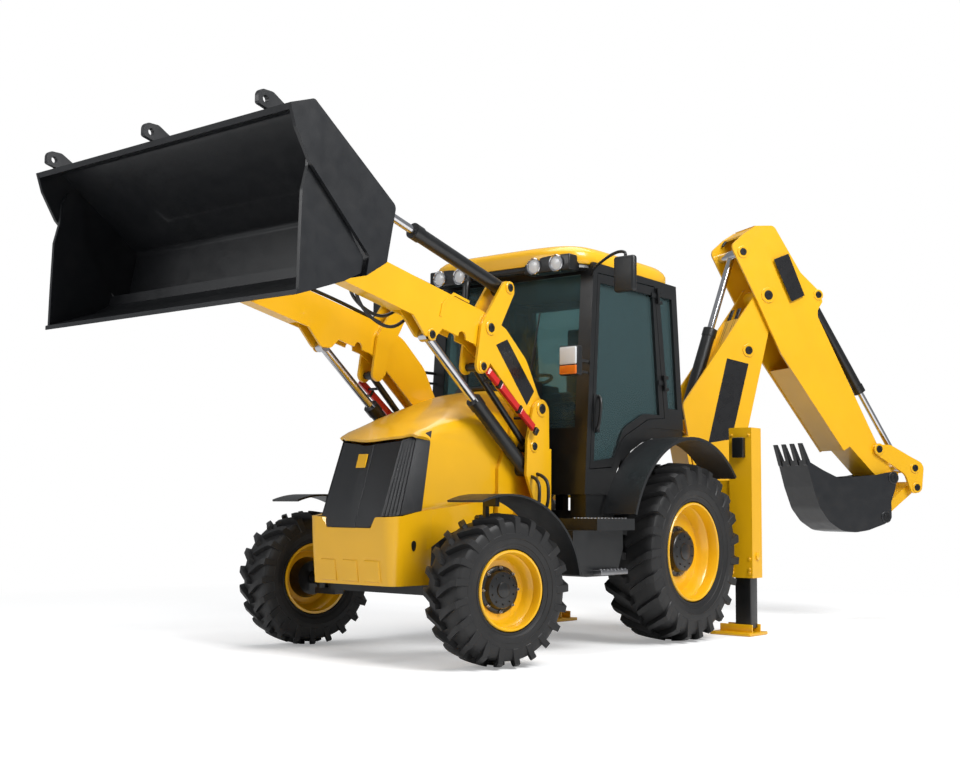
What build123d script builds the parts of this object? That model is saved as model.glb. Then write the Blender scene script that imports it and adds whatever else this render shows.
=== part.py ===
from build123d import *
from math import atan2, cos, degrees, hypot, pi, radians, sin, tan
import os

# Backhoe loader, full size, millimetres.
# X points to the machine's left, Y to its rear, Z up. The origin lies on the ground under
# the middle of the rear axle. The machine faces -Y.

# ---- driving dimensions ----------------------------------------------------------------
WHEELBASE = 2170
RUN = 0.3                # running or seating gap between two bodies
SIDE_GAP = 6             # side gap between two moving plates, closed to RUN by a boss at the pin

# wheels: tyre radius, tyre width, rim radius, wheel centre's distance from the middle plane
FRONT_R, FRONT_W, FRONT_RIM_R, FRONT_X = 475, 330, 250, 930
REAR_R, REAR_W, REAR_RIM_R, REAR_X = 669, 440, 368, 830
RIM_T = 14
LUG_H = 34
STEER_REST = 12.5        # front wheels turned to the machine's right
FRONT_Y = -WHEELBASE

# loader pins (Y, Z)
ARM_PIVOT = (-1291, 1678)
LEVER_PIVOT = (-1862, 2189)
LEVER_TOP = (-1660, 2489)
LEVER_LOW = (-1939, 1921)
LINK_TOWER = (ARM_PIVOT[0] + LEVER_LOW[0] - LEVER_PIVOT[0], ARM_PIVOT[1] + LEVER_LOW[1] - LEVER_PIVOT[1])
LIFT_BASE = (-1377, 1250)
LIFT_EYE = (-2425, 2085)
BUCKET_PIN = (-3400, 2465)
TILT_EYE = (-3598, 3041)
ARM_X, ARM_W = 482, 104  # arm centre from the middle plane, arm width
ARM_WALL = 12
LIFT_BARREL_R, LIFT_ROD_R, LIFT_BARREL_L = 48, 30, 723
TILT_BARREL_R, TILT_ROD_R, TILT_BARREL_L = 48, 27, 940
PIN_R = 26

# loader bucket
SHOVEL_HALF = 1180
SHOVEL_PLATE = 22
CLAM_PIN = (-4003, 2893)
HOOK_X = (980, 0, -980)
HOOK_HOLE = (-4250, 3090)
HOOK_HOLE_R = 20
HOOK_T = 30

# nose and bonnet
BONNET_HALF = 398
BONNET_HINGE = (-1255, 1852)

# axle and frame
KING_X = 690
TANK_X = (600, 930)

# cab
CAB_HALF = 750
CAB_FLOOR = 1083
CAB_WALL = 60
DOOR_T = 40
DOOR_HINGES = ((12, 1952), (-80, 2620))
DOOR_AXIS_OUT = 14

# backhoe
SLEW_Y = 1360
SWING = -30              # degrees about Z, the boom points to the machine's left
BOOM_FOOT = (300, 950)
BOOM_RAM_BASE = (450, 600)
BOOM_RAM_EYE = (691, 2411)
DIPPER_PIVOT = (877, 2918)
DIPPER_RAM_BASE = (100, 1720)
DIPPER_RAM_EYE = (619, 3295)
EXTEND_PIN = (911, 3483)
BUCKET_RAM_BASE = (1425, 2960)
TIP_PIVOT = (2040, 1557)
TIP_RAM_EYE = (2435, 1390)
TIP_LINK_PIN = (2454, 1210)
HOE_PIN = (2165, 1295)
HOE_LINK_PIN = (2078, 935)
SLIDE_DIR = (0.4472, -0.8944)
HOE_HALF = 230
PLATE = 25
BOOM_HALF = 150
DIPPER_HALF = 190
SLIDER_HALF = 165

# stabilisers
LEG_X, LEG_Y = 1000, 833
HOUSING = (200, 160)
HOUSING_Z = (450, 1640)
LEG = (140, 110)


# ---- forms ------------------------------------------------------------------------------
def outline(corners, x):
    """Closed wire across X at x, from (y, z) or (y, z, radius) corners, rounded where given."""
    edges = []
    count = len(corners)
    ends = []
    for i, corner in enumerate(corners):
        here = Vector(x, corner[0], corner[1])
        radius = corner[2] if len(corner) > 2 else 0
        before = corners[i - 1]
        after = corners[(i + 1) % count]
        if not radius:
            ends.append((here, here))
            continue
        back = (Vector(x, before[0], before[1]) - here).normalized()
        ahead = (Vector(x, after[0], after[1]) - here).normalized()
        half = radians(back.get_angle(ahead)) / 2
        reach = radius / tan(half)
        start, end = here + back * reach, here + ahead * reach
        middle = here + (back + ahead).normalized() * (radius / sin(half) - radius)
        edges.append(ThreePointArc(start, middle, end))
        ends.append((start, end))
    for i in range(count):
        start, end = ends[i][1], ends[(i + 1) % count][0]
        if (end - start).length > 1e-6:
            edges.append(Line(start, end))
    return Wire(edges)


def plate(corners, x0, x1):
    """Flat plate lying across X, from x0 to x1."""
    return extrude(Face(outline(corners, x0)), amount=x1 - x0, dir=(1, 0, 0))


def disc(centre, radius, x0, x1):
    """Round pin or boss along X, from x0 to x1, centred at (y, z)."""
    return Pos((x0 + x1) / 2, centre[0], centre[1]) * Rot(0, 90, 0) * Cylinder(radius, x1 - x0)


def bar(start, end, radius):
    """Round bar between two points."""
    start, end = Vector(*start), Vector(*end)
    run = end - start
    return Plane(origin=start, z_dir=run) * Cylinder(
        radius, run.length, align=(Align.CENTER, Align.CENTER, Align.MIN))


def block(x0, x1, y0, y1, z0, z1):
    """Box between two corners."""
    return Pos((x0 + x1) / 2, (y0 + y1) / 2, (z0 + z1) / 2) * Box(x1 - x0, y1 - y0, z1 - z0)


def both(shape):
    """A shape and its mirror image on the machine's other side."""
    return [shape, mirror(shape, about=Plane.YZ)]


def along(start, end, distance):
    """Point on the way from start to end, at a distance from start."""
    length = hypot(end[0] - start[0], end[1] - start[1])
    return (start[0] + (end[0] - start[0]) * distance / length,
            start[1] + (end[1] - start[1]) * distance / length)


def barrel(base, eye, length, radius, bore, eye_half, x):
    """Ram barrel on a base eye: a tube with a closed back end, bored for its rod."""
    mouth = along(base, eye, length)
    back = along(base, eye, radius * 0.6)
    deep = along(base, eye, radius + 50)
    tube = bar((x, *back), (x, *mouth), radius) + disc(base, radius * 0.95, x - eye_half, x + eye_half)
    collar = bar((x, *along(base, eye, length - 70)), (x, *mouth), radius + 6)
    return tube + collar - bar((x, *deep), (x, *along(base, eye, length + 5)), bore)


def rod(base, eye, inside, radius, eye_r, eye_half, x):
    """Ram rod with its eye at the far end; inside is where its near end sits in the barrel."""
    start = along(base, eye, inside)
    return bar((x, *start), (x, *eye), radius) + disc(eye, eye_r, x - eye_half, x + eye_half)


def join(shapes):
    """Fuse a list of touching shapes."""
    whole = shapes[0]
    for shape in shapes[1:]:
        whole = whole + shape
    return whole


def hoe(points):
    """Backhoe points (reach from the slew axis, height) as (Y, Z) before the swing."""
    return [(SLEW_Y + p[0], *p[1:]) for p in points]


def hoe_pin(point):
    return (SLEW_Y + point[0], point[1])


def swung(shape):
    """Turn a backhoe piece about the slew axis to where the boom points."""
    return Pos(0, SLEW_Y, 0) * Rot(0, 0, SWING) * Pos(0, -SLEW_Y, 0) * shape


os.makedirs("parts", exist_ok=True)
NODES = {}


def node(name, shapes):
    """Keep one node: its solids, one or several."""
    solids = []
    for shape in shapes:
        solids.extend(shape.solids())
    NODES[name] = Compound(children=solids) if len(solids) > 1 else solids[0]


# ---- chassis ---------------------------------------------------------------------------
RAIL_X, RAIL_W = 310, 90
RAIL_Z = (770, 970)
rail = block(RAIL_X - RAIL_W / 2, RAIL_X + RAIL_W / 2, -2290, 700 - RUN, *RAIL_Z)
rail = rail + block(RAIL_X - RAIL_W / 2, RAIL_X + RAIL_W / 2, -2560 + RUN, -2290, RAIL_Z[0], 920)
rail = rail + block(RAIL_X - 30, RAIL_X + 30, 90, 170, RAIL_Z[1] - 10, 1600 - RUN)
outriggers = [block(RAIL_X, TANK_X[0] - RUN, y - 30, y + 30, RAIL_Z[0] + 10, RAIL_Z[0] + 60) for y in (-1080, -900)]
outriggers += [block(RAIL_X - 30, RAIL_X + 30, y - 35, y + 35, RAIL_Z[1] - 10, CAB_FLOOR - RUN) for y in (-980, -700)]
cross = [block(-RAIL_X, RAIL_X, y - 60, y + 60, RAIL_Z[0] + 20, RAIL_Z[1] - 40) for y in (-2230, -1300, -620, 600)]
node("chassis_rails", [join(both(join([rail] + outriggers)) + cross)])
node("engine", [block(-RAIL_X + RAIL_W / 2 + RUN, RAIL_X - RAIL_W / 2 - RUN, -2160, -1370, 800, 1380)])

TOWER_X = (ARM_X - ARM_W / 2 - 45, ARM_X + ARM_W / 2 + 12)


def loader_tower():
    """Fabricated tower: inner and outer plate round the arm's foot, on a root beside the rail."""
    cheek = [(-1600, 940), (-1600, 1250), (-1480, 1480, 60), (-1420, 1690, 80), (-1291, 1790, 90),
             (-1190, 1690, 60), (-1170, 940)]
    inner = plate(cheek, TOWER_X[0], ARM_X - ARM_W / 2 - SIDE_GAP)
    outer = plate([(-1460, 1210, 40), (-1450, 1460, 40), (-1380, 1690, 70), (-1291, 1780, 80), (-1205, 1690, 60),
                   (-1190, 940), (-1320, 940)], ARM_X + ARM_W / 2 + SIDE_GAP, ARM_X + ARM_W / 2 + SIDE_GAP + 20)
    root = block(RAIL_X + RAIL_W / 2 + RUN, ARM_X + ARM_W / 2 + SIDE_GAP + 20, -1430, -1175, 800, 980)
    back = block(TOWER_X[0], ARM_X + ARM_W / 2 + SIDE_GAP + 20, -1205, -1175, 960, 1400)
    return join([inner, outer, root, back])


node("loader_towers", both(loader_tower()))


# ---- axles and wheels --------------------------------------------------------------------
HUB_X_F = FRONT_X - 150
front_beam = block(-540, 540, FRONT_Y - 70, FRONT_Y + 70, FRONT_R - 65, FRONT_R + 65)
front_beam = front_beam + block(-340, 340, FRONT_Y - 60, FRONT_Y + 60, FRONT_R + 40, RAIL_Z[0] - RUN)
EAR_Y = 42
yoke = [block(KING_X - 140, KING_X + 40, FRONT_Y - EAR_Y, FRONT_Y + EAR_Y, z0, z1)
        for z0, z1 in ((375, 415), (535, 575))]
yoke.append(block(KING_X - 160, KING_X - 95, FRONT_Y - EAR_Y, FRONT_Y + EAR_Y, 375, 575))
node("front_axle", [join([front_beam] + both(join(yoke)))])

AXLE_END = 640
rear_tube = disc((0, REAR_R), 85, -600, 600) + disc((0, REAR_R), 190, -170, 170)
rear_tube = rear_tube + disc((0, REAR_R), 120, -AXLE_END, -560) + disc((0, REAR_R), 120, 560, AXLE_END)
rear_axle = join([rear_tube] + both(block(250, 370, -90, 90, REAR_R, RAIL_Z[0] - RUN)))
node("rear_axle", [rear_axle])


def tyre(radius, width, rim):
    """Tyre about the Z axis: bulged side walls and a flat-crowned tread out to the lug tips."""
    w = width / 2
    profile = [(rim, -w * 0.80), (rim + 25, -w * 0.92), (rim + (radius - rim) * 0.5, -w),
               (radius - LUG_H * 1.4, -w * 0.97), (radius, -w * 0.80), (radius, w * 0.80),
               (radius - LUG_H * 1.4, w * 0.97), (rim + (radius - rim) * 0.5, w), (rim + 25, w * 0.92),
               (rim, w * 0.80)]
    face = Face(Wire.make_polygon([(r, 0, z) for r, z in profile]))
    return revolve(face, axis=Axis.Z)


def wheel(rim, width, dish, hub_r, hub_out, hub_in):
    """Rim with its well, dished disc and hub about the Z axis; +Z is outboard."""
    w = width / 2 * 0.86
    r1, r2 = rim - RUN, rim - RIM_T
    profile = [(0, dish), (hub_r, dish), (hub_r * 1.25, dish - 10), (r2 - 60, -dish * 0.2), (r2 - 22, w * 0.35),
               (r2, w * 0.5), (r2 + 2, w), (r1, w), (r1, -w), (r2, -w), (r2 - 8, w * 0.35 - 30),
               (r2 - 50, -dish * 0.2 - 20), (hub_r * 1.25, dish - 28), (0, dish - 28)]
    face = Face(Wire.make_polygon([(r, 0, z) for r, z in profile]))
    hub = Pos(0, 0, (hub_out + hub_in) / 2) * Cylinder(hub_r * 0.8, hub_out - hub_in)
    return revolve(face, axis=Axis.Z) + hub


def place_wheel(shape, side, x, y, z, turn):
    """Stand a wheel made about Z on its axle; side is +1 left, -1 right; turn is its steering."""
    upright = Rot(0, 90, 0) * shape if side > 0 else Rot(0, -90, 0) * shape
    return Pos(side * KING_X, y, z) * Rot(0, 0, turn) * Pos(side * (x - KING_X), 0, 0) * upright


# name, side, radius, width, rim radius, X, Y, steering at rest, disc dish, hub radius, hub reach
WHEELS = [
    ("front_left", 1, FRONT_R, FRONT_W, FRONT_RIM_R, FRONT_X, FRONT_Y, -STEER_REST, 10, 120, (75, -105)),
    ("front_right", -1, FRONT_R, FRONT_W, FRONT_RIM_R, FRONT_X, FRONT_Y, -STEER_REST, 10, 120, (75, -105)),
    ("rear_left", 1, REAR_R, REAR_W, REAR_RIM_R, REAR_X, 0, 0, 40, 150, (120, AXLE_END + RUN - REAR_X)),
    ("rear_right", -1, REAR_R, REAR_W, REAR_RIM_R, REAR_X, 0, 0, 40, 150, (120, AXLE_END + RUN - REAR_X)),
]
for name, side, radius, width, rim, x, y, turn, dish, hub_r, reach in WHEELS:
    node("tyre_" + name, [place_wheel(tyre(radius, width, rim), side, x, y, radius, turn)])
    node("wheel_" + name, [place_wheel(wheel(rim, width, dish, hub_r, *reach), side, x, y, radius, turn)])


FENDER_R = 580


def knuckle(side):
    """Steering knuckle between the yoke's ears, with the stub that carries the hub."""
    body = Pos(0, 0, FRONT_R) * Cylinder(46, 120 - 2 * RUN)
    stub = disc((0, FRONT_R), 42, 0, FRONT_X - KING_X - 105 - RUN)
    arm = block(-20, 20, 30, 190, FRONT_R - 20, FRONT_R + 10)
    stay = join([block(-15, 15, 80, 110, FRONT_R - 20, FENDER_R + FRONT_R - 35),
                 block(-15, 120, 80, 110, FENDER_R + FRONT_R - 65, FENDER_R + FRONT_R)])
    stay = stay & disc((0, FRONT_R), FENDER_R - RUN, -20, 130)
    shape = join([body, stub, arm, stay])
    if side < 0:
        shape = mirror(shape, about=Plane.YZ)
    return Pos(side * KING_X, FRONT_Y, 0) * Rot(0, 0, -STEER_REST) * shape


def front_fender(side):
    """Curved guard over a front wheel, turning with it."""
    ring = disc((0, FRONT_R), FENDER_R + 14, 5, 370) - disc((0, FRONT_R), FENDER_R, 0, 375)
    keep = plate([(0, FRONT_R), (-330, 1300), (900, 1300), (900, 600)], -60, 380)
    shape = ring & keep
    if side < 0:
        shape = mirror(shape, about=Plane.YZ)
    return Pos(side * KING_X, FRONT_Y, 0) * Rot(0, 0, -STEER_REST) * shape


for name, side in (("left", 1), ("right", -1)):
    node("knuckle_" + name, [knuckle(side)])
    node("front_fender_" + name, [front_fender(side)])


# ---- nose, bonnet and grille ---------------------------------------------------------------
def section(y, half_low, half_high, z_low, z_high):
    """Cross section of the nose or bonnet, as a wire across Y."""
    return Wire.make_polygon([(-half_low, y, z_low), (half_low, y, z_low), (half_high, y, z_high),
                              (-half_high, y, z_high)])


nose = loft([Face(section(y, a, b, z0, z1)) for y, a, b, z0, z1 in
             ((-2630, 330, 296, 490, 905), (-2560, 384, 380, 480, 930), (-2290, 398, 398, 480, 960))], ruled=True)
nose_rear = block(-RAIL_X - RAIL_W / 2 - RUN, RAIL_X + RAIL_W / 2 + RUN, -2560, -2250, 600, 1100)
side_low = plate([(-2300, 680), (-2300, 965), (-1600, 1050), (-1600, 860), (-1900, 860)], 378, BONNET_HALF)
node("nose", [join([nose - nose_rear] + both(side_low))])

# bonnet ribs from front to rear: Y, lower half width, upper half width, side bottom, shoulder, crown
BONNET_SECTIONS = [
    (-2330, 394, 330, 966, 1460, 1475),
    (-1960, BONNET_HALF, 345, 1010, 1560, 1660),
    (-1640, BONNET_HALF, 350, 1050, 1635, 1780),
    (-1612, 376, 340, 1060, 1640, 1786),
    (-1250, 376, 340, 1330, 1700, 1830),
]


def bonnet_ring(y, low, high, z0, z1, z2, wall):
    return Wire.make_polygon([(-low + wall, y, z0), (low - wall, y, z0), (low - wall, y, z1 - 60),
                              (high - wall, y, z1), (high * 0.45, y, z2 - wall), (-high * 0.45, y, z2 - wall),
                              (-high + wall, y, z1), (-low + wall, y, z1 - 60)])


outer = loft([Face(bonnet_ring(*s, 0)) for s in BONNET_SECTIONS], ruled=True)
inner = loft([Face(bonnet_ring(s[0] + dy, s[1], s[2], s[3] - 20, s[4], s[5], 14))
              for s, dy in zip(BONNET_SECTIONS, (-10, 0, 0, 0, 10))], ruled=True)
front_cap = loft([Face(bonnet_ring(-2330, 394, 330, 1395, 1460, 1475, 0)),
                  Face(Wire.make_polygon([(-300, -2650, 1400), (300, -2650, 1400), (300, -2650, 1415),
                                          (290, -2650, 1430), (140, -2650, 1440), (-140, -2650, 1440),
                                          (-290, -2650, 1430), (-300, -2650, 1415)]))], ruled=True)
hinge_ear = disc(BONNET_HINGE, 16, 100 + RUN, 150) + plate(
    [(-1330, 1805), (-1330, 1830), (-1255, 1868), (-1255, 1836)], 100 + RUN, 150)
node("bonnet", [join([outer - inner + front_cap] + both(hinge_ear))])
grille = loft([Face(Wire.make_polygon([(-a, -2330, z), (a, -2330, z), (a * 0.75, y, z), (-a * 0.75, y, z)]))
               for a, y, z in ((400, -2605, 962), (395, -2600, 1395 - RUN))], ruled=True)
node("grille", [grille])

# ---- cab -----------------------------------------------------------------------------------
PANE_HALF = 640
SCREEN_Z = (1560, 2680)
CAB_SIDE = [(-1035, CAB_FLOOR), (-637, CAB_FLOOR), (-637, 1250), (-480, 1480, 200), (-160, 1600, 300), (300, 1600),
            (200, 2730), (-925, 2760)]
cab_body = plate(CAB_SIDE, -CAB_HALF, CAB_HALF)
CAB_VOID = [(-975, 1143), (-697, 1143), (-697, 1290), (-520, 1530, 200), (-180, 1660, 300), (240, 1660),
            (150, 2700), (-868, 2700)]
cab_void = plate(CAB_VOID, -CAB_HALF + CAB_WALL, CAB_HALF - CAB_WALL)
DOOR = [(-975, 1260), (-700, 1280), (-560, 1500, 180), (-200, 1660, 250), (30, 1680), (-110, 2690), (-875, 2690)]
doorway = plate(DOOR, CAB_HALF - CAB_WALL - 5, CAB_HALF + 5)
screen = block(-PANE_HALF, PANE_HALF, -1100, -860, SCREEN_Z[0], SCREEN_Z[1])
rear_glass = block(-PANE_HALF, PANE_HALF, 100, 350, 1720, 2640)
QUARTER = [(80, 1760), (215, 1760), (135, 2620), (-40, 2620)]
quarter = plate(QUARTER, CAB_HALF - CAB_WALL - 5, CAB_HALF + 5)
cowl = plate([(-1030, 1160), (-1200, 1400), (-1228, 1800), (-1140, 1890, 60), (-995, 1900)], -340, 340)
cowl = cowl + disc(BONNET_HINGE, 16, -100, 100) + plate(
    [(-1255, 1868), (-1255, 1838), (-1200, 1815), (-1200, 1855)], -100, 100)
cab = cab_body - cab_void - join(both(doorway)) - screen - rear_glass - join(both(quarter)) + cowl


def on_hinge(point, near, far):
    """Round pin on the left door's hinge axis, from near to far along it from a hinge's middle."""
    low, high = DOOR_HINGES
    run = Vector(0, high[0] - low[0], high[1] - low[1]).normalized()
    start = Vector(CAB_HALF + DOOR_AXIS_OUT, *point)
    return bar(tuple(start + run * near), tuple(start + run * far), 12)


def strap(point, inner, y0, y1, z0, z1):
    """Flat strap beside a hinge pin, on the cab's side from the X given; y and z from the hinge."""
    return block(inner, CAB_HALF + 8, point[0] + y0, point[0] + y1, point[1] + z0, point[1] + z1)


frame_hinges = []
door_hinges = []
for hinge in DOOR_HINGES:
    frame_hinges.append(on_hinge(hinge, -60, -25 - RUN) + strap(hinge, CAB_HALF - 4, 0, 70, -58, -32))
    frame_hinges.append(on_hinge(hinge, 25 + RUN, 60) + strap(hinge, CAB_HALF - 4, -8, 62, 32, 58))
    door_hinges.append(on_hinge(hinge, -25, 25) + strap(hinge, CAB_HALF + 1, -80, 0, -18, 18)
                       + strap(hinge, CAB_HALF - 4, -80, -40, -18, 18))
node("cab_frame", [join([cab] + both(join(frame_hinges)))])
roof = plate([(-1120, 2766), (-925, 2760 + RUN), (200, 2730 + RUN), (260, 2729), (240, 2830, 60), (-60, 2905, 300), (-700, 2915, 300),
              (-1100, 2850, 40)], -CAB_HALF, CAB_HALF)
node("cab_roof", [roof])


def shrink(corners, gap):
    """Move each corner of a convex-ish outline towards its middle by about a gap."""
    cy = sum(c[0] for c in corners) / len(corners)
    cz = sum(c[1] for c in corners) / len(corners)
    moved = []
    for c in corners:
        reach = hypot(c[0] - cy, c[1] - cz)
        k = (reach - gap) / reach
        moved.append((cy + (c[0] - cy) * k, cz + (c[1] - cz) * k, *c[2:]))
    return moved


DOOR_LEAF = shrink(DOOR, 8)
DOOR_GLASS = shrink(DOOR, 80)
leaf = plate(DOOR_LEAF, CAB_HALF - DOOR_T, CAB_HALF) - plate(DOOR_GLASS, CAB_HALF - DOOR_T - 5, CAB_HALF + 5)
pane = plate(shrink(DOOR, 80 + RUN), CAB_HALF - 30, CAB_HALF - 22)
for name, i in (("left", 0), ("right", 1)):
    node("door_" + name, [both(join([leaf] + door_hinges))[i]])
    node("door_glass_" + name, [both(pane)[i]])
windscreen = plate([(-992, SCREEN_Z[0] + RUN), (-984, SCREEN_Z[0] + RUN), (-911, SCREEN_Z[1] - RUN),
                    (-919, SCREEN_Z[1] - RUN)], -PANE_HALF + RUN, PANE_HALF - RUN)
rear_pane = plate([(265, 1720 + RUN), (273, 1720 + RUN), (193, 2640 - RUN), (185, 2640 - RUN)],
                  -PANE_HALF + RUN, PANE_HALF - RUN)
quarter_pane = plate(shrink(QUARTER, RUN), CAB_HALF - 30, CAB_HALF - 22)
node("cab_glass", [windscreen, rear_pane] + both(quarter_pane))
seat = join([block(-240, 240, -420, 40, 1720, 1850), block(-240, 240, -30, 90, 1850, 2420)])
seat = seat + block(-140, 140, -170, -40, 1660 + RUN, 1720)
column = bar((0, -910, 1175), (0, -780, 1850), 40) + block(-70, 70, -960, -850, 1143 + RUN, 1190)
column = column + Pos(0, -770, 1870) * Rot(-15, 0, 0) * Torus(180, 16)
column = column + Pos(0, -770, 1870) * Rot(-15, 0, 0) * Box(360, 30, 12)
node("cab_interior", [seat, column])


# ---- fenders, steps, tank --------------------------------------------------------------------
arch = disc((0, REAR_R), 860, CAB_HALF + RUN, 1030) - disc((0, REAR_R), 835, 590, 1040)
arch = arch & plate([(0, REAR_R), (-1200, 1080), (-1200, 2000), (300, 2000), (900, 1480)], 590, 1040)
node("rear_fenders", both(arch))
tank = plate([(-1424, 835), (-823, 835), (-823, 700), (-900, 520, 60), (-1300, 520, 60), (-1424, 700)], *TANK_X)
steps = block(620, 1010, -1255, -793, 835 + RUN, 915)
node("side_tanks", both(tank) + both(steps))

# ---- rear frame and stabilisers ----------------------------------------------------------------
beams = [block(-900 + RUN, 900 - RUN, 770, 890, z0, z1) for z0, z1 in ((500, 640), (1080, 1220))]
uprights = both(block(250, 400, 700, 770, 500, 1220))
skirt = block(-420, 420, 700, 780, 640, 860)
housing = block(LEG_X - 100, LEG_X + 100, LEG_Y - 80, LEG_Y + 80, *HOUSING_Z)
housing = housing - block(LEG_X - 70 - RUN, LEG_X + 70 + RUN, LEG_Y - 55 - RUN, LEG_Y + 55 + RUN, 400, 1600)
node("rear_frame", [join(beams + uprights + [skirt])] + both(housing))
leg = block(LEG_X - 70, LEG_X + 70, LEG_Y - 55, LEG_Y + 55, 60, 1180)
foot = block(LEG_X - 250, LEG_X + 110, LEG_Y - 150, LEG_Y + 150, 0, 60)
for name, i in (("left", 0), ("right", 1)):
    node("stabiliser_" + name, [both(leg + foot)[i]])

# ---- loader arms, levers and rams ---------------------------------------------------------------
LEVER_T = 20
X_IN = ARM_X - ARM_W / 2 - SIDE_GAP
X_OUT = ARM_X + ARM_W / 2 + SIDE_GAP
LUG_T = 25
LUG_IN = (X_IN - LUG_T - 4, X_IN - 4)
LUG_OUT = (X_OUT + 4, X_OUT + LUG_T + 4)
EYE_LUG_T = 18
LINK_PIN_R = 26
ARM_OUTLINE = [(-1291, 1768, 80), (-1180, 1678, 70), (-1291, 1590, 80), (-1440, 1640, 100), (-1870, 1985, 80),
               (-1999, 2068, 60), (-3178, 2317), (-3400, 2375, 60), (-3475, 2400, 60), (-3470, 2535, 60), (-2866, 2500, 300),
               (-1872, 2290, 200), (-1665, 2205, 200), (-1433, 2010, 250)]


ARM_VOID = [(-1420, 1560), (-1505, 1720, 60), (-1640, 1860), (-1715, 2170, 150), (-1880, 2255, 150), (-2700, 2450),
            (-2700, 2000), (-1870, 1850)]
RELIEF = (-2126, 2101)   # where the link's upper pin lies beside the lowered arm


def loader_arm():
    """One lift arm: a channel open below from its foot to the ram's lugs, a closed box ahead of them."""
    x0, x1 = ARM_X - ARM_W / 2, ARM_X + ARM_W / 2
    body = plate(ARM_OUTLINE, x0, x1) - plate(ARM_VOID, x0 + ARM_WALL, x1 - ARM_WALL)
    body = body - disc(RELIEF, LINK_PIN_R + 12, x0 - 5, x1 + 5) - block(
        x0 - 5, x1 + 5, RELIEF[0] - LINK_PIN_R - 12, RELIEF[0] + LINK_PIN_R + 12, RELIEF[1] - 80, RELIEF[1])
    lugs = [plate([(-2700, 2300), (-2480, 2070, 50), (-2390, 2070, 50), (-2250, 2200)], a, a + EYE_LUG_T)
            for a in (x0, x1 - EYE_LUG_T)]
    return join([body] + lugs)


arm_bosses = [disc(point, radius, X_IN + RUN, X_OUT - RUN) for point, radius in ((ARM_PIVOT, 62), (LEVER_PIVOT, 52))]
arm_bosses.append(disc(BUCKET_PIN, 60, LUG_IN[1] + RUN, LUG_OUT[0] - RUN))
arms = join(both(join([loader_arm()] + arm_bosses)))
cross_tube = bar((-ARM_X, -3150, 2410), (ARM_X, -3150, 2410), 70)
node("loader_arms", [arms + cross_tube])

lever_shape = [(-1660 + 20, 2489 + 45, 50), (-1660 - 55, 2489 + 40, 50), (-1960, 2200, 60), (-2010, 1900, 50),
               (-1939, 1860, 50), (-1870, 1930, 50), (-1840, 2110, 60), (-1760, 2200, 60), (-1600, 2470, 50)]
lever = [plate(lever_shape, X_IN - LEVER_T, X_IN), plate(lever_shape, X_OUT, X_OUT + LEVER_T)]
node("levelling_levers", both(lever[0]) + both(lever[1]))
LINK_HALF = 23
link = bar((ARM_X, *LEVER_LOW), (ARM_X, *LINK_TOWER), LINK_HALF)
for point, eye_r in ((LEVER_LOW, 31), (LINK_TOWER, 38)):
    link = link + disc(point, eye_r, ARM_X - 30, ARM_X + 30) + disc(point, LINK_PIN_R, X_IN + RUN, X_OUT - RUN)
node("levelling_links", both(link))

node("lift_barrels", both(barrel(LIFT_BASE, LIFT_EYE, LIFT_BARREL_L, LIFT_BARREL_R, LIFT_ROD_R + RUN,
                                 ARM_W / 2 + SIDE_GAP - RUN, ARM_X)))
node("lift_rods", both(rod(LIFT_BASE, LIFT_EYE, 565, LIFT_ROD_R, 42, ARM_W / 2 - EYE_LUG_T - RUN, ARM_X)))
node("tilt_barrels", both(barrel(LEVER_TOP, TILT_EYE, TILT_BARREL_L, TILT_BARREL_R, TILT_ROD_R + RUN,
                                 ARM_W / 2 + SIDE_GAP - RUN, ARM_X)))
node("tilt_rods", both(rod(LEVER_TOP, TILT_EYE, 610, TILT_ROD_R, 40, ARM_W / 2 - EYE_LUG_T - RUN, ARM_X)))
node("tilt_trunnions", both(disc(LEVER_TOP, PIN_R, X_IN - LEVER_T - 30, X_IN - LEVER_T - RUN)))
node("bucket_pins", both(disc(BUCKET_PIN, 36, LUG_IN[0] - 20, LUG_IN[0] - RUN)) +
     both(disc(BUCKET_PIN, 36, LUG_OUT[1] + RUN, LUG_OUT[1] + 20)))

# ---- loader bucket ---------------------------------------------------------------------------------
end_plate = [(-4243, 3040), (-4076, 3101, 30), (-3449, 2642, 40), (-3517, 2315), (-3674, 2220), (-3654, 2332),
             (-4103, 2761), (-4203, 2924)]
back_out = [(-4243, 3040), (-4076, 3101, 30), (-3449, 2642, 60), (-3517, 2315, 40), (-3674, 2220), (-3670, 2250),
            (-3545, 2335, 40), (-3485, 2640, 40), (-4070, 3065, 20), (-4230, 3010)]
shovel = [plate(end_plate, SHOVEL_HALF - SHOVEL_PLATE, SHOVEL_HALF)]
shell = plate(back_out, -SHOVEL_HALF + 5, SHOVEL_HALF - 5)
lugs = []
for a in (LUG_IN[0], LUG_OUT[0]):
    lugs.append(plate([(-3455, 2660), (-3350, 2500, 50), (-3350, 2420, 50), (-3440, 2400, 50), (-3530, 2330),
                       (-3490, 2600)], a, a + 25))
for a in (ARM_X - ARM_W / 2 + EYE_LUG_T - 20, ARM_X + ARM_W / 2 - EYE_LUG_T):
    lugs.append(plate([(-3480, 2650), (-3550, 3070, 45), (-3650, 3085, 45), (-3850, 2920)], a, a + 20))
shovel_back = join([shell] + both(shovel[0]) + sum([both(s) for s in lugs], []))

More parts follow.
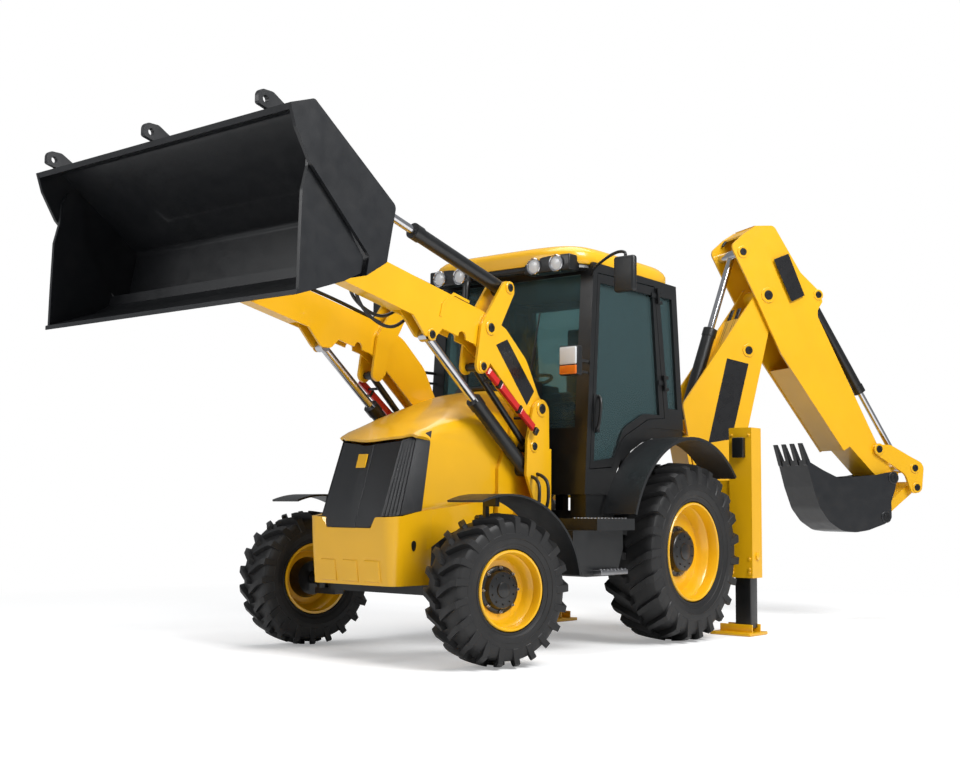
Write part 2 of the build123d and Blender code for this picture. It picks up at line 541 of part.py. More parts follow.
clam_side = [(-3900, 2640, 100), (-3930, 2930, 55), (-4030, 2965, 55), (-4080, 2870, 60), (-4090, 2745), (-4124, 2611), (-4132, 2313), (-4136, 2063), (-3811, 2175), (-3690, 2240),
             (-3676, 2325), (-3740, 2400, 60)]
floor = [(-4150, 2060), (-3811, 2175), (-3690, 2235), (-3676, 2320), (-3700, 2325), (-3712, 2262), (-3820, 2200),
         (-4150, 2085)]
clam_x = SHOVEL_HALF - SHOVEL_PLATE - 5
clam_end = plate(clam_side, clam_x - 22, clam_x) + disc(CLAM_PIN, 45, clam_x - 10, SHOVEL_HALF - SHOVEL_PLATE - RUN)
clam = join([plate(floor, -clam_x, clam_x)] + both(clam_end))
node("clam_jaw", [clam])

hooks = []
for x in HOOK_X:
    hooks.append(Pos(x - HOOK_T / 2, 0, 0) * plate([(-4300, 3060, 15), (-4300, 3140, 40), (-4200, 3140, 40), (-4110, 3088.9),
                                                   (-4235, 3043.2)],
                                                  0, HOOK_T) - disc(HOOK_HOLE, HOOK_HOLE_R, x - 50, x + 50))
node("shovel_back", [shovel_back] + hooks)

# ---- backhoe ---------------------------------------------------------------------------------------
carriage = block(-330, 330, 890 + RUN, 960, 420, 1300)
for z0, z1 in ((520, 600), (1080, 1150)):
    carriage = carriage + block(-90, 90, 960, SLEW_Y, z0, z1) + Pos(0, SLEW_Y, (z0 + z1) / 2) * Cylinder(90, z1 - z0)
node("slew_carriage", [carriage])
post = Pos(0, SLEW_Y, (600 + 1080) / 2) * Cylinder(90, 480 - 2 * RUN)
post_cheeks = [plate(hoe([(-60, 660), (120, 660), (330, 500, 60), (520, 540, 60), (520, 660, 60), (380, 1000, 80),
                          (300, 1070, 80), (-60, 1060, 60)]), a, a + 40) for a in (-BOOM_HALF - 50, BOOM_HALF + 10)]
post_web = block(-BOOM_HALF - 50, BOOM_HALF + 50, SLEW_Y - 60, SLEW_Y + 60, 660, 1050)
node("king_post", [swung(join([post, post_web] + post_cheeks))])

HOE_LUG = 64             # inner face of the lugs that hold the dipper ram's barrel

boom_side = hoe([(220, 870, 80), (380, 870, 80), (645, 1576, 200), (914, 2635, 60), (1000, 2960, 90),
                 (840, 3040, 80), (700, 2830, 80), (25, 1903, 80), (120, 1400, 100)])
cheeks = [plate(boom_side, a, a + PLATE) for a in (-BOOM_HALF, BOOM_HALF - PLATE)]
boom_top = plate(hoe([(205, 1000), (100, 1440, 100), (70, 1590), (215, 1690), (630, 2690), (608, 2700), (196, 1712),
                      (40, 1604), (75, 1430, 100), (180, 995)]), -BOOM_HALF + 5, BOOM_HALF - 5)
boom_back = plate(hoe([(880, 2500), (914, 2635), (985, 2900), (960, 2906), (888, 2642), (855, 2506)]),
                  -BOOM_HALF + 5, BOOM_HALF - 5)
ram_lugs = [plate(hoe([(110, 1620), (40, 1700, 50), (60, 1780, 50), (140, 1780, 50), (235, 1750), (205, 1690)]),
                  a, a + 20)
            for a in (-HOE_LUG - 20, HOE_LUG)]
boom_pins = [disc(hoe_pin(BOOM_FOOT), 75, -BOOM_HALF - 10 + RUN, BOOM_HALF + 10 - RUN),
             disc(hoe_pin(DIPPER_PIVOT), 70, -DIPPER_HALF + 20 + RUN, DIPPER_HALF - 20 - RUN)]
node("boom", [swung(join(cheeks + [boom_top, boom_back] + ram_lugs + boom_pins))])

SLIDE_TOP = (756, 3550)


def beside(distance, off):
    """Point beside the slider's front face: distance down from its top, off towards the guide."""
    return (SLIDE_TOP[0] + SLIDE_DIR[0] * distance + SLIDE_DIR[1] * off,
            SLIDE_TOP[1] + SLIDE_DIR[1] * distance - SLIDE_DIR[0] * off)


def strip(d0, d1, near, far, half):
    """Plate along the slider's front face, from near to far off it."""
    return plate(hoe([beside(d0, near), beside(d1, near), beside(d1, far), beside(d0, far)]), -half, half)


guide = hoe([(497, 3344, 60), (640, 3470, 60), beside(5, SIDE_GAP), beside(2200, SIDE_GAP), (1660, 1534),
             (1006, 2392, 200), (760, 2870, 60)])
guide_walls = [plate(guide, a, a + 20) for a in (-DIPPER_HALF, DIPPER_HALF - 20)]
guide_walls.append(plate(hoe([(1110, 2270), (1660, 1540), (1680, 1552), (1132, 2282)]),
                         -DIPPER_HALF + 5, DIPPER_HALF - 5))
guide_walls.append(strip(660, 2195, SIDE_GAP, SIDE_GAP + 18, DIPPER_HALF - 5))
guide_walls.append(plate(hoe([(640, 3462), beside(8, SIDE_GAP), beside(110, SIDE_GAP), beside(110, SIDE_GAP + 15),
                              beside(30, SIDE_GAP + 15), (640, 3445)]), -DIPPER_HALF + 5, DIPPER_HALF - 5))
for distance in (700, 1400, 2080):
    guide_walls.append(strip(distance, distance + 110, RUN, SIDE_GAP + 10, SLIDER_HALF - 15))
node("dipper_guide", [swung(join(guide_walls))])

slider = plate(hoe([SLIDE_TOP, (961, 3569, 60), (1240, 3154, 100), (1416, 3012, 30), (1474, 2904, 30),
                    (1400, 2790, 100), (2043, 1603, 60), (2230, 1300, 60), (2150, 1220, 60), (1990, 1340, 60),
                    beside(2210, 0)]), -SLIDER_HALF, SLIDER_HALF)
slider = slider - plate(hoe([(1300, 3100), (1416 + 60, 3012 + 60), (1560, 2860), (1420, 2820), (1330, 2950)]), -60, 60)
slider = slider + disc(hoe_pin(HOE_PIN), 55, -HOE_HALF + PLATE + RUN, HOE_HALF - PLATE - RUN)
slider = slider + disc(hoe_pin(TIP_PIVOT), 48, -SLIDER_HALF - 5 + RUN, SLIDER_HALF + 5 - RUN)
node("dipper_slider", [swung(slider)])

tip_lever = hoe([(2000, 1600, 50), (2169, 1600, 60), (2380, 1500, 60), (2540, 1430, 80), (2510, 1170, 60),
                 (2400, 1150, 50), (2330, 1330, 80), (2010, 1510, 50)])
node("tipping_lever", [swung(plate(tip_lever, a, a + PLATE)) for a in (-SLIDER_HALF - 5 - PLATE, SLIDER_HALF + 5)])
tip_link = plate(hoe([(2454, 1265), (2510, 1210), (2454, 1160), (2078, 880), (2020, 935), (2078, 990)]), -120, 120)
tip_link = tip_link + disc(hoe_pin(TIP_LINK_PIN), 42, -SLIDER_HALF - 5 + RUN, SLIDER_HALF + 5 - RUN)
tip_link = tip_link + disc(hoe_pin(HOE_LINK_PIN), 42, -HOE_HALF + PLATE + RUN, HOE_HALF - PLATE - RUN)
node("tipping_link", [swung(tip_link)])


# name, base, eye, barrel length, barrel radius, rod radius, rod start, base's half width, eye's half width
HOE_RAMS = [
    ("boom", BOOM_RAM_BASE, BOOM_RAM_EYE, 1000, 70, 38, 850, BOOM_HALF + 10, BOOM_HALF - PLATE),
    ("dipper", DIPPER_RAM_BASE, DIPPER_RAM_EYE, 930, 58, 32, 830, HOE_LUG, DIPPER_HALF - 20),
    ("bucket", BUCKET_RAM_BASE, TIP_RAM_EYE, 1030, 50, 28, 900, 60, SLIDER_HALF + 5),
]
for name, base, eye, length, radius, rod_r, inside, base_half, eye_half in HOE_RAMS:
    base, eye = hoe_pin(base), hoe_pin(eye)
    node(name + "_ram_barrel", [swung(barrel(base, eye, length, radius, rod_r + RUN, base_half - RUN, 0))])
    node(name + "_ram_rod", [swung(rod(base, eye, inside, rod_r, rod_r + 14, eye_half - RUN, 0))])

hoe_side = hoe([(1228, 1440), (1408, 1350), (1563, 1286, 100), (1698, 1293), (1971, 1317), (2145, 1350, 50),
                (2210, 1290, 50), (2182, 1186, 40), (2138, 1071), (2140, 918, 40), (2060, 870, 50), (1880, 812, 200),
                (1744, 793, 200), (1599, 807, 150), (1467, 886, 150), (1369, 1007, 150), (1295, 1202)])
hoe_shell = hoe([(1228, 1440), (1295, 1202), (1369, 1007, 150), (1467, 886, 150), (1599, 807, 150),
                 (1744, 793, 200), (1880, 812, 200), (1960, 850, 50), (2010, 1000, 50), (1971, 1317), (1945, 1310),
                 (1985, 1010, 40), (1938, 868, 40), (1870, 838, 180), (1744, 818, 180), (1610, 832, 130), (1487, 903, 130),
                 (1392, 1018, 130), (1320, 1205), (1255, 1440)])
hoe_bucket = [plate(hoe_side, a, a + PLATE) for a in (-HOE_HALF, HOE_HALF - PLATE)]
hoe_bucket.append(plate(hoe_shell, -HOE_HALF + 5, HOE_HALF - 5))
tooth = hoe([(1230, 1400), (1175, 1590), (1195, 1590), (1275, 1420), (1265, 1370)])
for x in (-200, -67, 67, 200):
    hoe_bucket.append(plate(tooth, x - 25, x + 25))
node("hoe_bucket", [swung(join(hoe_bucket))])

for name, shape in NODES.items():
    export_step(shape, f"parts/{name}.step")
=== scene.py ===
import bmesh
import bpy
import numpy as np
from math import cos, pi, radians, sin
from mathutils import Matrix, Vector


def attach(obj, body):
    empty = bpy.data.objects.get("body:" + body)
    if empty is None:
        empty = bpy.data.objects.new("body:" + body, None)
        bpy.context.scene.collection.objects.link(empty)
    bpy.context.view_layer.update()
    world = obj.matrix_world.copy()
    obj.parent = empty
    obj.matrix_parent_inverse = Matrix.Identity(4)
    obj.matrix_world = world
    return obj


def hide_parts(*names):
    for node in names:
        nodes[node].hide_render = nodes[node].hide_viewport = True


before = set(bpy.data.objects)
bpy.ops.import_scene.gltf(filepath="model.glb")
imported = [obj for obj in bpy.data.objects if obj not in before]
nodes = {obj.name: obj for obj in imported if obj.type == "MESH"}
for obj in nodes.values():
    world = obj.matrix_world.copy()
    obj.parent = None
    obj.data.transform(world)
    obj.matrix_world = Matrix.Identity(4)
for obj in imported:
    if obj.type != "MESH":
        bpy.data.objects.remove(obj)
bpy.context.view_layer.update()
link = bpy.context.scene.collection.objects.link
SIDES = (("left", 1), ("right", -1))

# ---- Camera --------------------------------------------------------------------------------
# Stands low at the machine's left front corner and looks slightly upwards, so that the raised
# bucket towers over the bonnet.
camera_data = bpy.data.cameras.new("camera")
camera_data.sensor_width = 36.0
camera_data.lens = 49.42
camera_data.clip_end = 300.0
camera = bpy.data.objects.new("camera", camera_data)
link(camera)
bpy.context.scene.camera = camera
camera_place = Vector((6.152, -8.664, 0.973))
yaw, pitch, roll = radians(39.87), radians(5.42), radians(0.53)
ahead = Vector((-sin(yaw) * cos(pitch), cos(yaw) * cos(pitch), sin(pitch)))
level = Vector((cos(yaw), sin(yaw), 0.0))
above = level.cross(ahead)
rightward = level * cos(roll) + above * sin(roll)
upward = above * cos(roll) - level * sin(roll)
camera.matrix_world = (Matrix.Translation(camera_place)
                       @ Matrix((rightward, upward, -ahead)).transposed().to_4x4())


# ---- Finishes ------------------------------------------------------------------------------
# Sprayed enamel, moulded plastic, rubber, chrome and glass. Each finish drifts a little in shade
# and roughness, and has a fine ripple or grain; the low and sheltered ones carry some dust.
def node(tree, kind, inputs):
    """Shader node whose inputs, by name or by number, take a constant or another node's socket."""
    one = tree.nodes.new("ShaderNode" + kind)
    for key, value in inputs.items():
        if isinstance(value, bpy.types.NodeSocket):
            tree.links.new(value, one.inputs[key])
        else:
            one.inputs[key].default_value = value
    return one


def enamel(name, colour, rough, coat, ripple=0.0006, drift=0.06, dust=0.0, metal=0.0, grain=160.0):
    """Base colour drifts by a noise in place, roughness by a finer noise, and a very fine noise
    ripples the surface."""
    made = bpy.data.materials.new(name)
    made.use_nodes = True
    tree = made.node_tree
    shader = tree.nodes["Principled BSDF"]
    place = node(tree, "TexCoord", {}).outputs["Object"]

    def noise(scale, detail):
        """Noise over the object's own place, at a number of lumps a metre."""
        return node(tree, "TexNoise", {"Scale": scale, "Detail": detail, "Vector": place}).outputs["Fac"]

    def ramp(source, low, high, at=(0.3, 0.7)):
        """Colour between two colours as the source goes from at[0] to at[1]."""
        one = node(tree, "ValToRGB", {"Fac": source})
        one.color_ramp.elements[0].position, one.color_ramp.elements[1].position = at
        one.color_ramp.elements[0].color, one.color_ramp.elements[1].color = low, high
        return one.outputs["Color"]

    darker = tuple(c * (1 - drift) for c in colour) + (1.0,)
    lighter = tuple(min(1.0, c * (1 + drift)) for c in colour) + (1.0,)
    tint = ramp(noise(2.3, 3.0), darker, lighter)
    if dust:
        grime = node(tree, "Mix", {})
        grime.data_type = "RGBA"
        spots = ramp(noise(9.0, 8.0), (0.0, 0.0, 0.0, 1.0), (dust, dust, dust, 1.0), (0.45, 0.85))
        tree.links.new(spots, grime.inputs["Factor"])
        tree.links.new(tint, grime.inputs["A"])
        grime.inputs["B"].default_value = (0.16, 0.15, 0.135, 1.0)
        tint = grime.outputs["Result"]
    tree.links.new(tint, shader.inputs["Base Color"])
    low, high = max(0.0, rough - 0.04), rough + 0.05
    shade = ramp(noise(14.0, 5.0), (low, low, low, 1.0), (high, high, high, 1.0))
    tree.links.new(shade, shader.inputs["Roughness"])
    shader.inputs["Coat Weight"].default_value = coat
    shader.inputs["Coat Roughness"].default_value = 0.06
    shader.inputs["Metallic"].default_value = metal
    bump = node(tree, "Bump", {"Distance": ripple, "Strength": 0.3, "Height": noise(grain, 2.0)})
    tree.links.new(bump.outputs["Normal"], shader.inputs["Normal"])
    return made


yellow = enamel("yellow_enamel", (0.83, 0.44, 0.004), 0.32, 0.45, drift=0.04)
black = enamel("black_enamel", (0.006, 0.0065, 0.007), 0.34, 0.15, dust=0.03)
charcoal = enamel("bucket_charcoal", (0.011, 0.012, 0.014), 0.36, 0.15, drift=0.12, dust=0.05)
moulded = enamel("moulded_plastic", (0.008, 0.009, 0.010), 0.42, 0.0, ripple=0.0012, grain=420.0)
rubber = enamel("tyre_rubber", (0.007, 0.007, 0.0075), 0.52, 0.0, ripple=0.0015, drift=0.12, dust=0.05)
hose = enamel("hose_rubber", (0.010, 0.010, 0.011), 0.42, 0.0, ripple=0.0008, grain=500.0)
chrome = enamel("chromed_rod", (0.62, 0.62, 0.64), 0.14, 0.0, ripple=0.0001, drift=0.02, metal=1.0)
steel = enamel("zinc_steel", (0.30, 0.30, 0.31), 0.34, 0.0, ripple=0.0004, drift=0.1, metal=1.0)
red = enamel("red_enamel", (0.55, 0.012, 0.010), 0.32, 0.4)
amber = enamel("amber_lens", (0.80, 0.17, 0.012), 0.12, 0.6, ripple=0.0010, grain=220.0)
clear = enamel("lamp_lens", (0.70, 0.72, 0.74), 0.10, 0.8, ripple=0.0015, drift=0.08, grain=120.0)
vinyl = enamel("seat_vinyl", (0.030, 0.031, 0.034), 0.55, 0.0, ripple=0.0015, grain=700.0)
decal = enamel("blank_decal", (0.009, 0.009, 0.010), 0.28, 0.3, ripple=0.0002)

glass = bpy.data.materials.new("tinted_glass")
glass.use_nodes = True
tree = glass.node_tree
tree.nodes.clear()
tint = node(tree, "BsdfTransparent", {"Color": (0.50, 0.62, 0.62, 1.0)})
gloss = node(tree, "BsdfGlossy", {"Color": (0.75, 0.85, 0.88, 1.0), "Roughness": 0.03})
edge = node(tree, "LayerWeight", {"Blend": 0.24})
pane = node(tree, "MixShader", {0: edge.outputs["Fresnel"], 1: tint.outputs[0], 2: gloss.outputs[0]})
# A dull teal diffuse layer, an eighth of the pane, is a painted reflection of pale surroundings on the
# glass.
painted_reflection = node(tree, "BsdfDiffuse", {"Color": (0.20, 0.30, 0.31, 1.0)})
pane_with_painted_reflection = node(tree, "MixShader", {0: 0.12, 1: pane.outputs[0], 2: painted_reflection.outputs[0]})
node(tree, "OutputMaterial", {"Surface": pane_with_painted_reflection.outputs[0]})


def dress(finish, *names):
    """Give CAD nodes a finish in place of their plain one."""
    for name in names:
        mesh = nodes[name].data
        for i in range(len(mesh.materials)):
            mesh.materials[i] = finish


dress(yellow, "bonnet", "nose", "cab_roof", "loader_arms", "loader_towers", "levelling_levers", "boom",
      "dipper_guide", "dipper_slider", "tipping_lever", "tipping_link", "rear_frame")
dress(black, "chassis_rails", "engine", "front_axle", "rear_axle", "knuckle_left", "knuckle_right",
      "cab_frame", "door_left", "door_right", "side_tanks", "lift_barrels", "tilt_barrels",
      "tilt_trunnions", "bucket_pins", "levelling_links", "boom_ram_barrel", "dipper_ram_barrel",
      "bucket_ram_barrel", "king_post", "slew_carriage")
dress(charcoal, "shovel_back", "clam_jaw", "hoe_bucket")
dress(moulded, "rear_fenders", "front_fender_left", "front_fender_right", "grille", "cab_interior")
dress(chrome, "lift_rods", "tilt_rods", "boom_ram_rod", "dipper_ram_rod", "bucket_ram_rod")
dress(glass, "cab_glass", "door_glass_left", "door_glass_right")


# ---- Hoses ---------------------------------------------------------------------------------
# Wire-braided rubber hydraulic hoses in stiff loops: two hang below the left loader arm and two
# stand out at the foot of the left tower. Each runs from port to port of one frame.
# name, body, diameter, (x, y, z) of the route's points
HOSES = [
    ("hose_arm_loop_a", "loader_arms", 0.022,
     [(0.420, -2.42, 2.28), (0.400, -2.50, 2.20), (0.395, -2.66, 2.10),
      (0.395, -2.86, 2.16), (0.400, -2.98, 2.27), (0.420, -3.02, 2.36)]),
    ("hose_arm_loop_b", "loader_arms", 0.022,
     [(0.420, -2.50, 2.30), (0.375, -2.58, 2.24), (0.365, -2.72, 2.17),
      (0.365, -2.90, 2.22), (0.375, -3.02, 2.31), (0.420, -3.06, 2.38)]),
    ("hose_tower_a", "chassis", 0.024,
     [(0.560, -1.40, 1.20), (0.640, -1.42, 1.18), (0.660, -1.44, 1.05), (0.620, -1.41, 0.95),
      (0.562, -1.40, 0.93)]),
    ("hose_tower_b", "chassis", 0.024,
     [(0.560, -1.34, 1.22), (0.650, -1.34, 1.20), (0.680, -1.36, 1.06), (0.630, -1.33, 0.96),
      (0.562, -1.32, 0.94)]),
]


def lay_hose(name, body, thick, route):
    """Round hose along a smooth curve whose control points are the route's."""
    curve = bpy.data.curves.new(name, "CURVE")
    curve.dimensions = "3D"
    curve.bevel_depth = thick / 2
    curve.bevel_resolution = 4
    curve.resolution_u = 10
    curve.use_fill_caps = True
    spline = curve.splines.new("NURBS")
    spline.points.add(len(route) - 1)
    for point, place in zip(spline.points, route):
        point.co = (*place, 1.0)
    spline.order_u = 3
    spline.use_endpoint_u = True
    curve.materials.append(hose)
    shape = bpy.data.objects.new(name, curve)
    link(shape)
    bare = curve.copy()
    bare.bevel_depth = 0.0
    probe = bpy.data.objects.new(name + "_probe", bare)
    line = bpy.data.meshes.new_from_object(probe)
    bpy.data.objects.remove(probe)
    bpy.data.meshes.remove(line)
    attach(shape, body)


for row in HOSES:
    lay_hose(*row)

# ---- Studio --------------------------------------------------------------------------------
# White floor that runs out to the horizon, white surroundings, and large soft lamps: a key high on
# the machine's left, a weaker one ahead of it and one overhead.
FLOOR_HALF, FLOOR_Z = 90.0, -0.002
FADE_FROM, FADE_TO = 3.6, 7.5

world = bpy.data.worlds.new("studio")
bpy.context.scene.world = world
world.use_nodes = True
tree = world.node_tree
tree.nodes.clear()
rays = node(tree, "LightPath", {})
dim = node(tree, "Background", {"Color": (0.93, 0.96, 1.0, 1.0), "Strength": 0.30})
white = node(tree, "Background", {"Color": (1.0, 1.0, 1.0, 1.0), "Strength": 1.0})
sky = node(tree, "MixShader", {0: rays.outputs["Is Camera Ray"], 1: dim.outputs[0], 2: white.outputs[0]})
node(tree, "OutputWorld", {"Surface": sky.outputs[0]})

floor_mesh = bpy.data.meshes.new("floor")
floor_mesh.from_pydata([(x * FLOOR_HALF, y * FLOOR_HALF, FLOOR_Z)
                        for x, y in ((-1, -1), (1, -1), (1, 1), (-1, 1))], [], [(0, 1, 2, 3)])
floor = bpy.data.objects.new("floor", floor_mesh)
link(floor)
paper = bpy.data.materials.new("studio_floor")
paper.use_nodes = True
tree = paper.node_tree
tree.nodes.clear()
seen = node(tree, "LightPath", {}).outputs["Is Camera Ray"]
lift = node(tree, "Math", {0: seen, 1: 0.30})
lift.operation = "MULTIPLY"
sheen = node(tree, "BsdfDiffuse", {"Color": (0.84, 0.84, 0.84, 1.0)})
glow = node(tree, "Emission", {"Strength": lift.outputs[0]})
near = node(tree, "AddShader", {0: sheen.outputs[0], 1: glow.outputs[0]})
distance = node(tree, "VectorMath", {0: node(tree, "TexCoord", {}).outputs["Object"]})
distance.operation = "LENGTH"
fade = node(tree, "MapRange", {"From Min": FADE_FROM, "From Max": FADE_TO,
                               "Value": distance.outputs["Value"]})
faded = node(tree, "Math", {0: fade.outputs[0], 1: seen})
faded.operation = "MULTIPLY"
far = node(tree, "Emission", {})
blend = node(tree, "MixShader", {0: faded.outputs[0], 1: near.outputs[0], 2: far.outputs[0]})
node(tree, "OutputMaterial", {"Surface": blend.outputs[0]})
floor_mesh.materials.append(paper)

# name, place, aimed at, width, height, watts
LAMPS = [
    ("key", (8.5, -2.0, 8.5), (0.0, -0.5, 1.2), 5.0, 5.0, 1150.0),
    ("front", (-3.0, -11.0, 5.5), (0.0, -1.5, 1.4), 6.0, 4.0, 260.0),
    ("top", (0.0, 0.5, 10.5), (0.0, 0.3, 0.0), 7.0, 9.0, 560.0),
]
for name, place, target, width, height, watts in LAMPS:
    lamp_data = bpy.data.lights.new(name, "AREA")
    lamp_data.shape = "RECTANGLE"
    lamp_data.size, lamp_data.size_y, lamp_data.energy = width, height, watts
    lamp = bpy.data.objects.new(name, lamp_data)
    link(lamp)
    lamp.location = place
    lamp.rotation_euler = (Vector(target) - Vector(place)).to_track_quat("-Z", "Y").to_euler()


# ---- Tyres ---------------------------------------------------------------------------------
# Deep-lugged traction tyres of black rubber, pressed over the rims: bulged side walls with moulded
# rings and a protector rib, and two rows of slanting lugs that wrap round the shoulders.
def quads(rows, cols):
    """Faces of a grid whose columns close round: each joins a point to its neighbours in the next
    column and the next row."""
    r = np.arange(rows - 1)[:, None] * cols
    c = np.arange(cols)[None, :]
    n = (c + 1) % cols
    return np.stack([r + c, r + n, r + cols + n, r + cols + c], -1).reshape(-1, 4).tolist()


def build(name, points, faces, finish, body, crisp=35.0):
    """Piece from its points and faces: normals outward, edges sharper than an angle kept crisp,
    riding on a body."""
    mesh = bpy.data.meshes.new(name)
    mesh.from_pydata(np.asarray(points).reshape(-1, 3).tolist(), [], faces)
    work = bmesh.new()
    work.from_mesh(mesh)
    bmesh.ops.remove_doubles(work, verts=work.verts, dist=1e-6)
    bmesh.ops.recalc_face_normals(work, faces=work.faces)
    work.to_mesh(mesh)
    work.free()
    mesh.polygons.foreach_set("use_smooth", np.ones(len(mesh.polygons), dtype=bool))
    mesh.set_sharp_from_angle(angle=radians(crisp))
    mesh.materials.append(finish)
    shape = bpy.data.objects.new(name, mesh)
    link(shape)
    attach(shape, body)
    return shape


def tread(radius, width, rim, lugs, lug_height):
    """Grid round the wheel's axis (z): each row follows the tyre's outline and is turned with the
    lug's slant, so that a lug's flanks run along the columns; rows in the tread are raised by the
    lug height between a lug's flanks, shoulders by less and less, walls not at all."""
    half = width / 2
    tall = radius - lug_height - rim
    # share of half width, share of wall height
    wall = [(0.80, 0.02), (0.87, 0.04), (0.885, 0.10), (0.87, 0.115), (0.905, 0.19), (0.925, 0.20),
            (0.945, 0.27), (0.965, 0.36), (0.985, 0.37)]
    # the same, then the lug's share of its height, lead, half thickness
    crown = [(0.992, 0.45, 0.00, 0.0, 0.16), (0.985, 0.535, 0.00, -0.30, 0.17),
             (0.975, 0.545, 0.30, -0.30, 0.17), (0.965, 0.66, 0.42, -0.29, 0.17),
             (0.950, 0.76, 0.60, -0.27, 0.165), (0.925, 0.84, 0.80, -0.25, 0.16),
             (0.88, 0.90, 1.00, -0.22, 0.155), (0.80, 0.935, 1.02, -0.17, 0.145),
             (0.66, 0.955, 1.00, -0.07, 0.135), (0.50, 0.97, 1.00, 0.05, 0.13),
             (0.34, 0.98, 1.00, 0.17, 0.125), (0.18, 0.99, 1.00, 0.29, 0.12),
             (0.045, 1.00, 1.00, 0.40, 0.115), (0.02, 1.00, 0.00, 0.42, 0.115)]
    outline = np.array([(*row, 0.0, 0.0, 0.15) for row in wall] + crown)
    rows = np.concatenate([outline, outline[::-1]])
    hand = np.repeat([-1.0, 1.0], len(outline))
    axial, radial = hand * rows[:, 0] * half, rim + rows[:, 1] * tall
    cover, lead, thick = rows[:, 2:].T
    step = np.gradient(np.stack([axial, radial], 1), axis=0)
    step /= np.linalg.norm(step, axis=1)[:, None]
    out_axial, out_radial = -step[:, 1], step[:, 0]
    # columns of one pitch: six across this row's lug, six across the other row's
    flank = np.stack([-thick - 0.035, -thick, -thick * 0.5, thick * 0.5, thick, thick + 0.035], 1)
    shares = np.concatenate([flank, flank + 0.5], 1)
    on_lug = np.array([0, 1, 1, 1, 1, 0] + [0] * 6, dtype=float)
    raised = np.where(hand[:, None] > 0, np.roll(on_lug, 6)[None, :], on_lug[None, :])
    turn = np.arange(lugs)[None, :, None] + shares[:, None, :] + lead[:, None, None]
    angle = turn.reshape(len(rows), -1) * 2 * pi / lugs
    lift = np.tile(raised, (1, lugs)) * (cover * lug_height)[:, None]
    r = np.minimum(radial[:, None] + out_radial[:, None] * lift, radius)
    z = np.clip(axial[:, None] + out_axial[:, None] * lift, -half, half)
    points = np.stack([r * np.cos(angle), r * np.sin(angle), z], -1)
    cols = points.shape[1]
    bore = np.stack([rim * np.cos(angle[0]), rim * np.sin(angle[0]), np.full(cols, half * 0.78)], -1)
    under = bore * (1, 1, -1)
    points = np.concatenate([under[None], points, bore[None], under[None]])
    return points, quads(len(points), cols)


# axle, radius, width, rim radius, x of the centre, y, steering, lugs a row, lug height
TYRES = [
    ("front", 0.475, 0.330, 0.250, 0.930, -2.170, -12.5, 21, 0.036),
    ("rear", 0.669, 0.440, 0.368, 0.830, 0.0, 0.0, 23, 0.042),
]
KING_X = 0.690


def on_axle(points, side, x, y, z, steer):
    """Points made about the z axis, outboard up, stood on their axle: z goes outboard, and the whole
    turns about the steering pin."""
    flat = np.asarray(points, dtype=float).reshape(-1, 3)
    upright = np.stack([side * (flat[:, 2] + x - KING_X), flat[:, 1], -flat[:, 0]], 1)
    a = radians(steer)
    spun = np.stack([upright[:, 0] * cos(a) - upright[:, 1] * sin(a),
                     upright[:, 0] * sin(a) + upright[:, 1] * cos(a), upright[:, 2]], 1)
    return spun + (side * KING_X, y, z)


for axle, radius, width, rim, x, y, steer, lugs, lug_height in TYRES:
    points, faces = tread(radius, width, rim, lugs, lug_height)
    for hand, side in SIDES:
        wheel = axle + "_" + hand
        stood = on_axle(points, side, x, y, radius, steer)
        shape = build("tread_" + wheel, stood, faces, rubber, "wheel_" + wheel, 28.0)
        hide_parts("tyre_" + wheel)


# ---- Wheels --------------------------------------------------------------------------------
# Pressed steel rims in yellow enamel with a rolled flange, a stepped well and a dished disc; a black
# cast hub bolted on in the middle, with a ring of zinc nuts round it and small bolts on its cover.
def merged(parts):
    """Several closed shapes as one: points stacked, each one's face numbers moved on by the points
    before it."""
    points, faces, count = [], [], 0
    for some_points, some_faces in parts:
        flat = np.asarray(some_points, dtype=float).reshape(-1, 3)
        points.append(flat)
        faces += [[i + count for i in face] for face in some_faces]
        count += len(flat)
    return np.concatenate(points), faces


def capped(rings):
    """Closed shape through a stack of rings: a wall from each to the next, a face over both ends."""
    rows, cols = rings.shape[:2]
    last = (rows - 1) * cols
    return rings, quads(rows, cols) + [list(range(cols)), list(range(last, last + cols))]


def circle(count):
    """Angles of a full turn in equal steps."""
    return 2 * pi * np.arange(count) / count


def revolved(profile, count):
    """Rings about the z axis, one through each (radius, height) of the profile."""
    rows, angle = np.array(profile, dtype=float), circle(count)
    return np.stack([rows[:, :1] * np.cos(angle), rows[:, :1] * np.sin(angle),
                     np.repeat(rows[:, 1:], count, 1)], -1)


def spin(profile, count=64):
    """Closed ring surface about the z axis: each (radius, height) of the closed profile goes round."""
    return revolved(list(profile) + [profile[0]], count), quads(len(profile) + 1, count)


def turned(profile, count=32):
    """Solid of revolution about the z axis from open (radius, height) rows, flat at both ends."""
    return capped(revolved(profile, count))


def circle_of(part, radius, count, height):
    """Copies of a shape made about z, set round a circle at a height."""
    points, faces = part
    flat = np.asarray(points).reshape(-1, 3)
    return [(flat + (radius * cos(a), radius * sin(a), height), faces) for a in circle(count)]


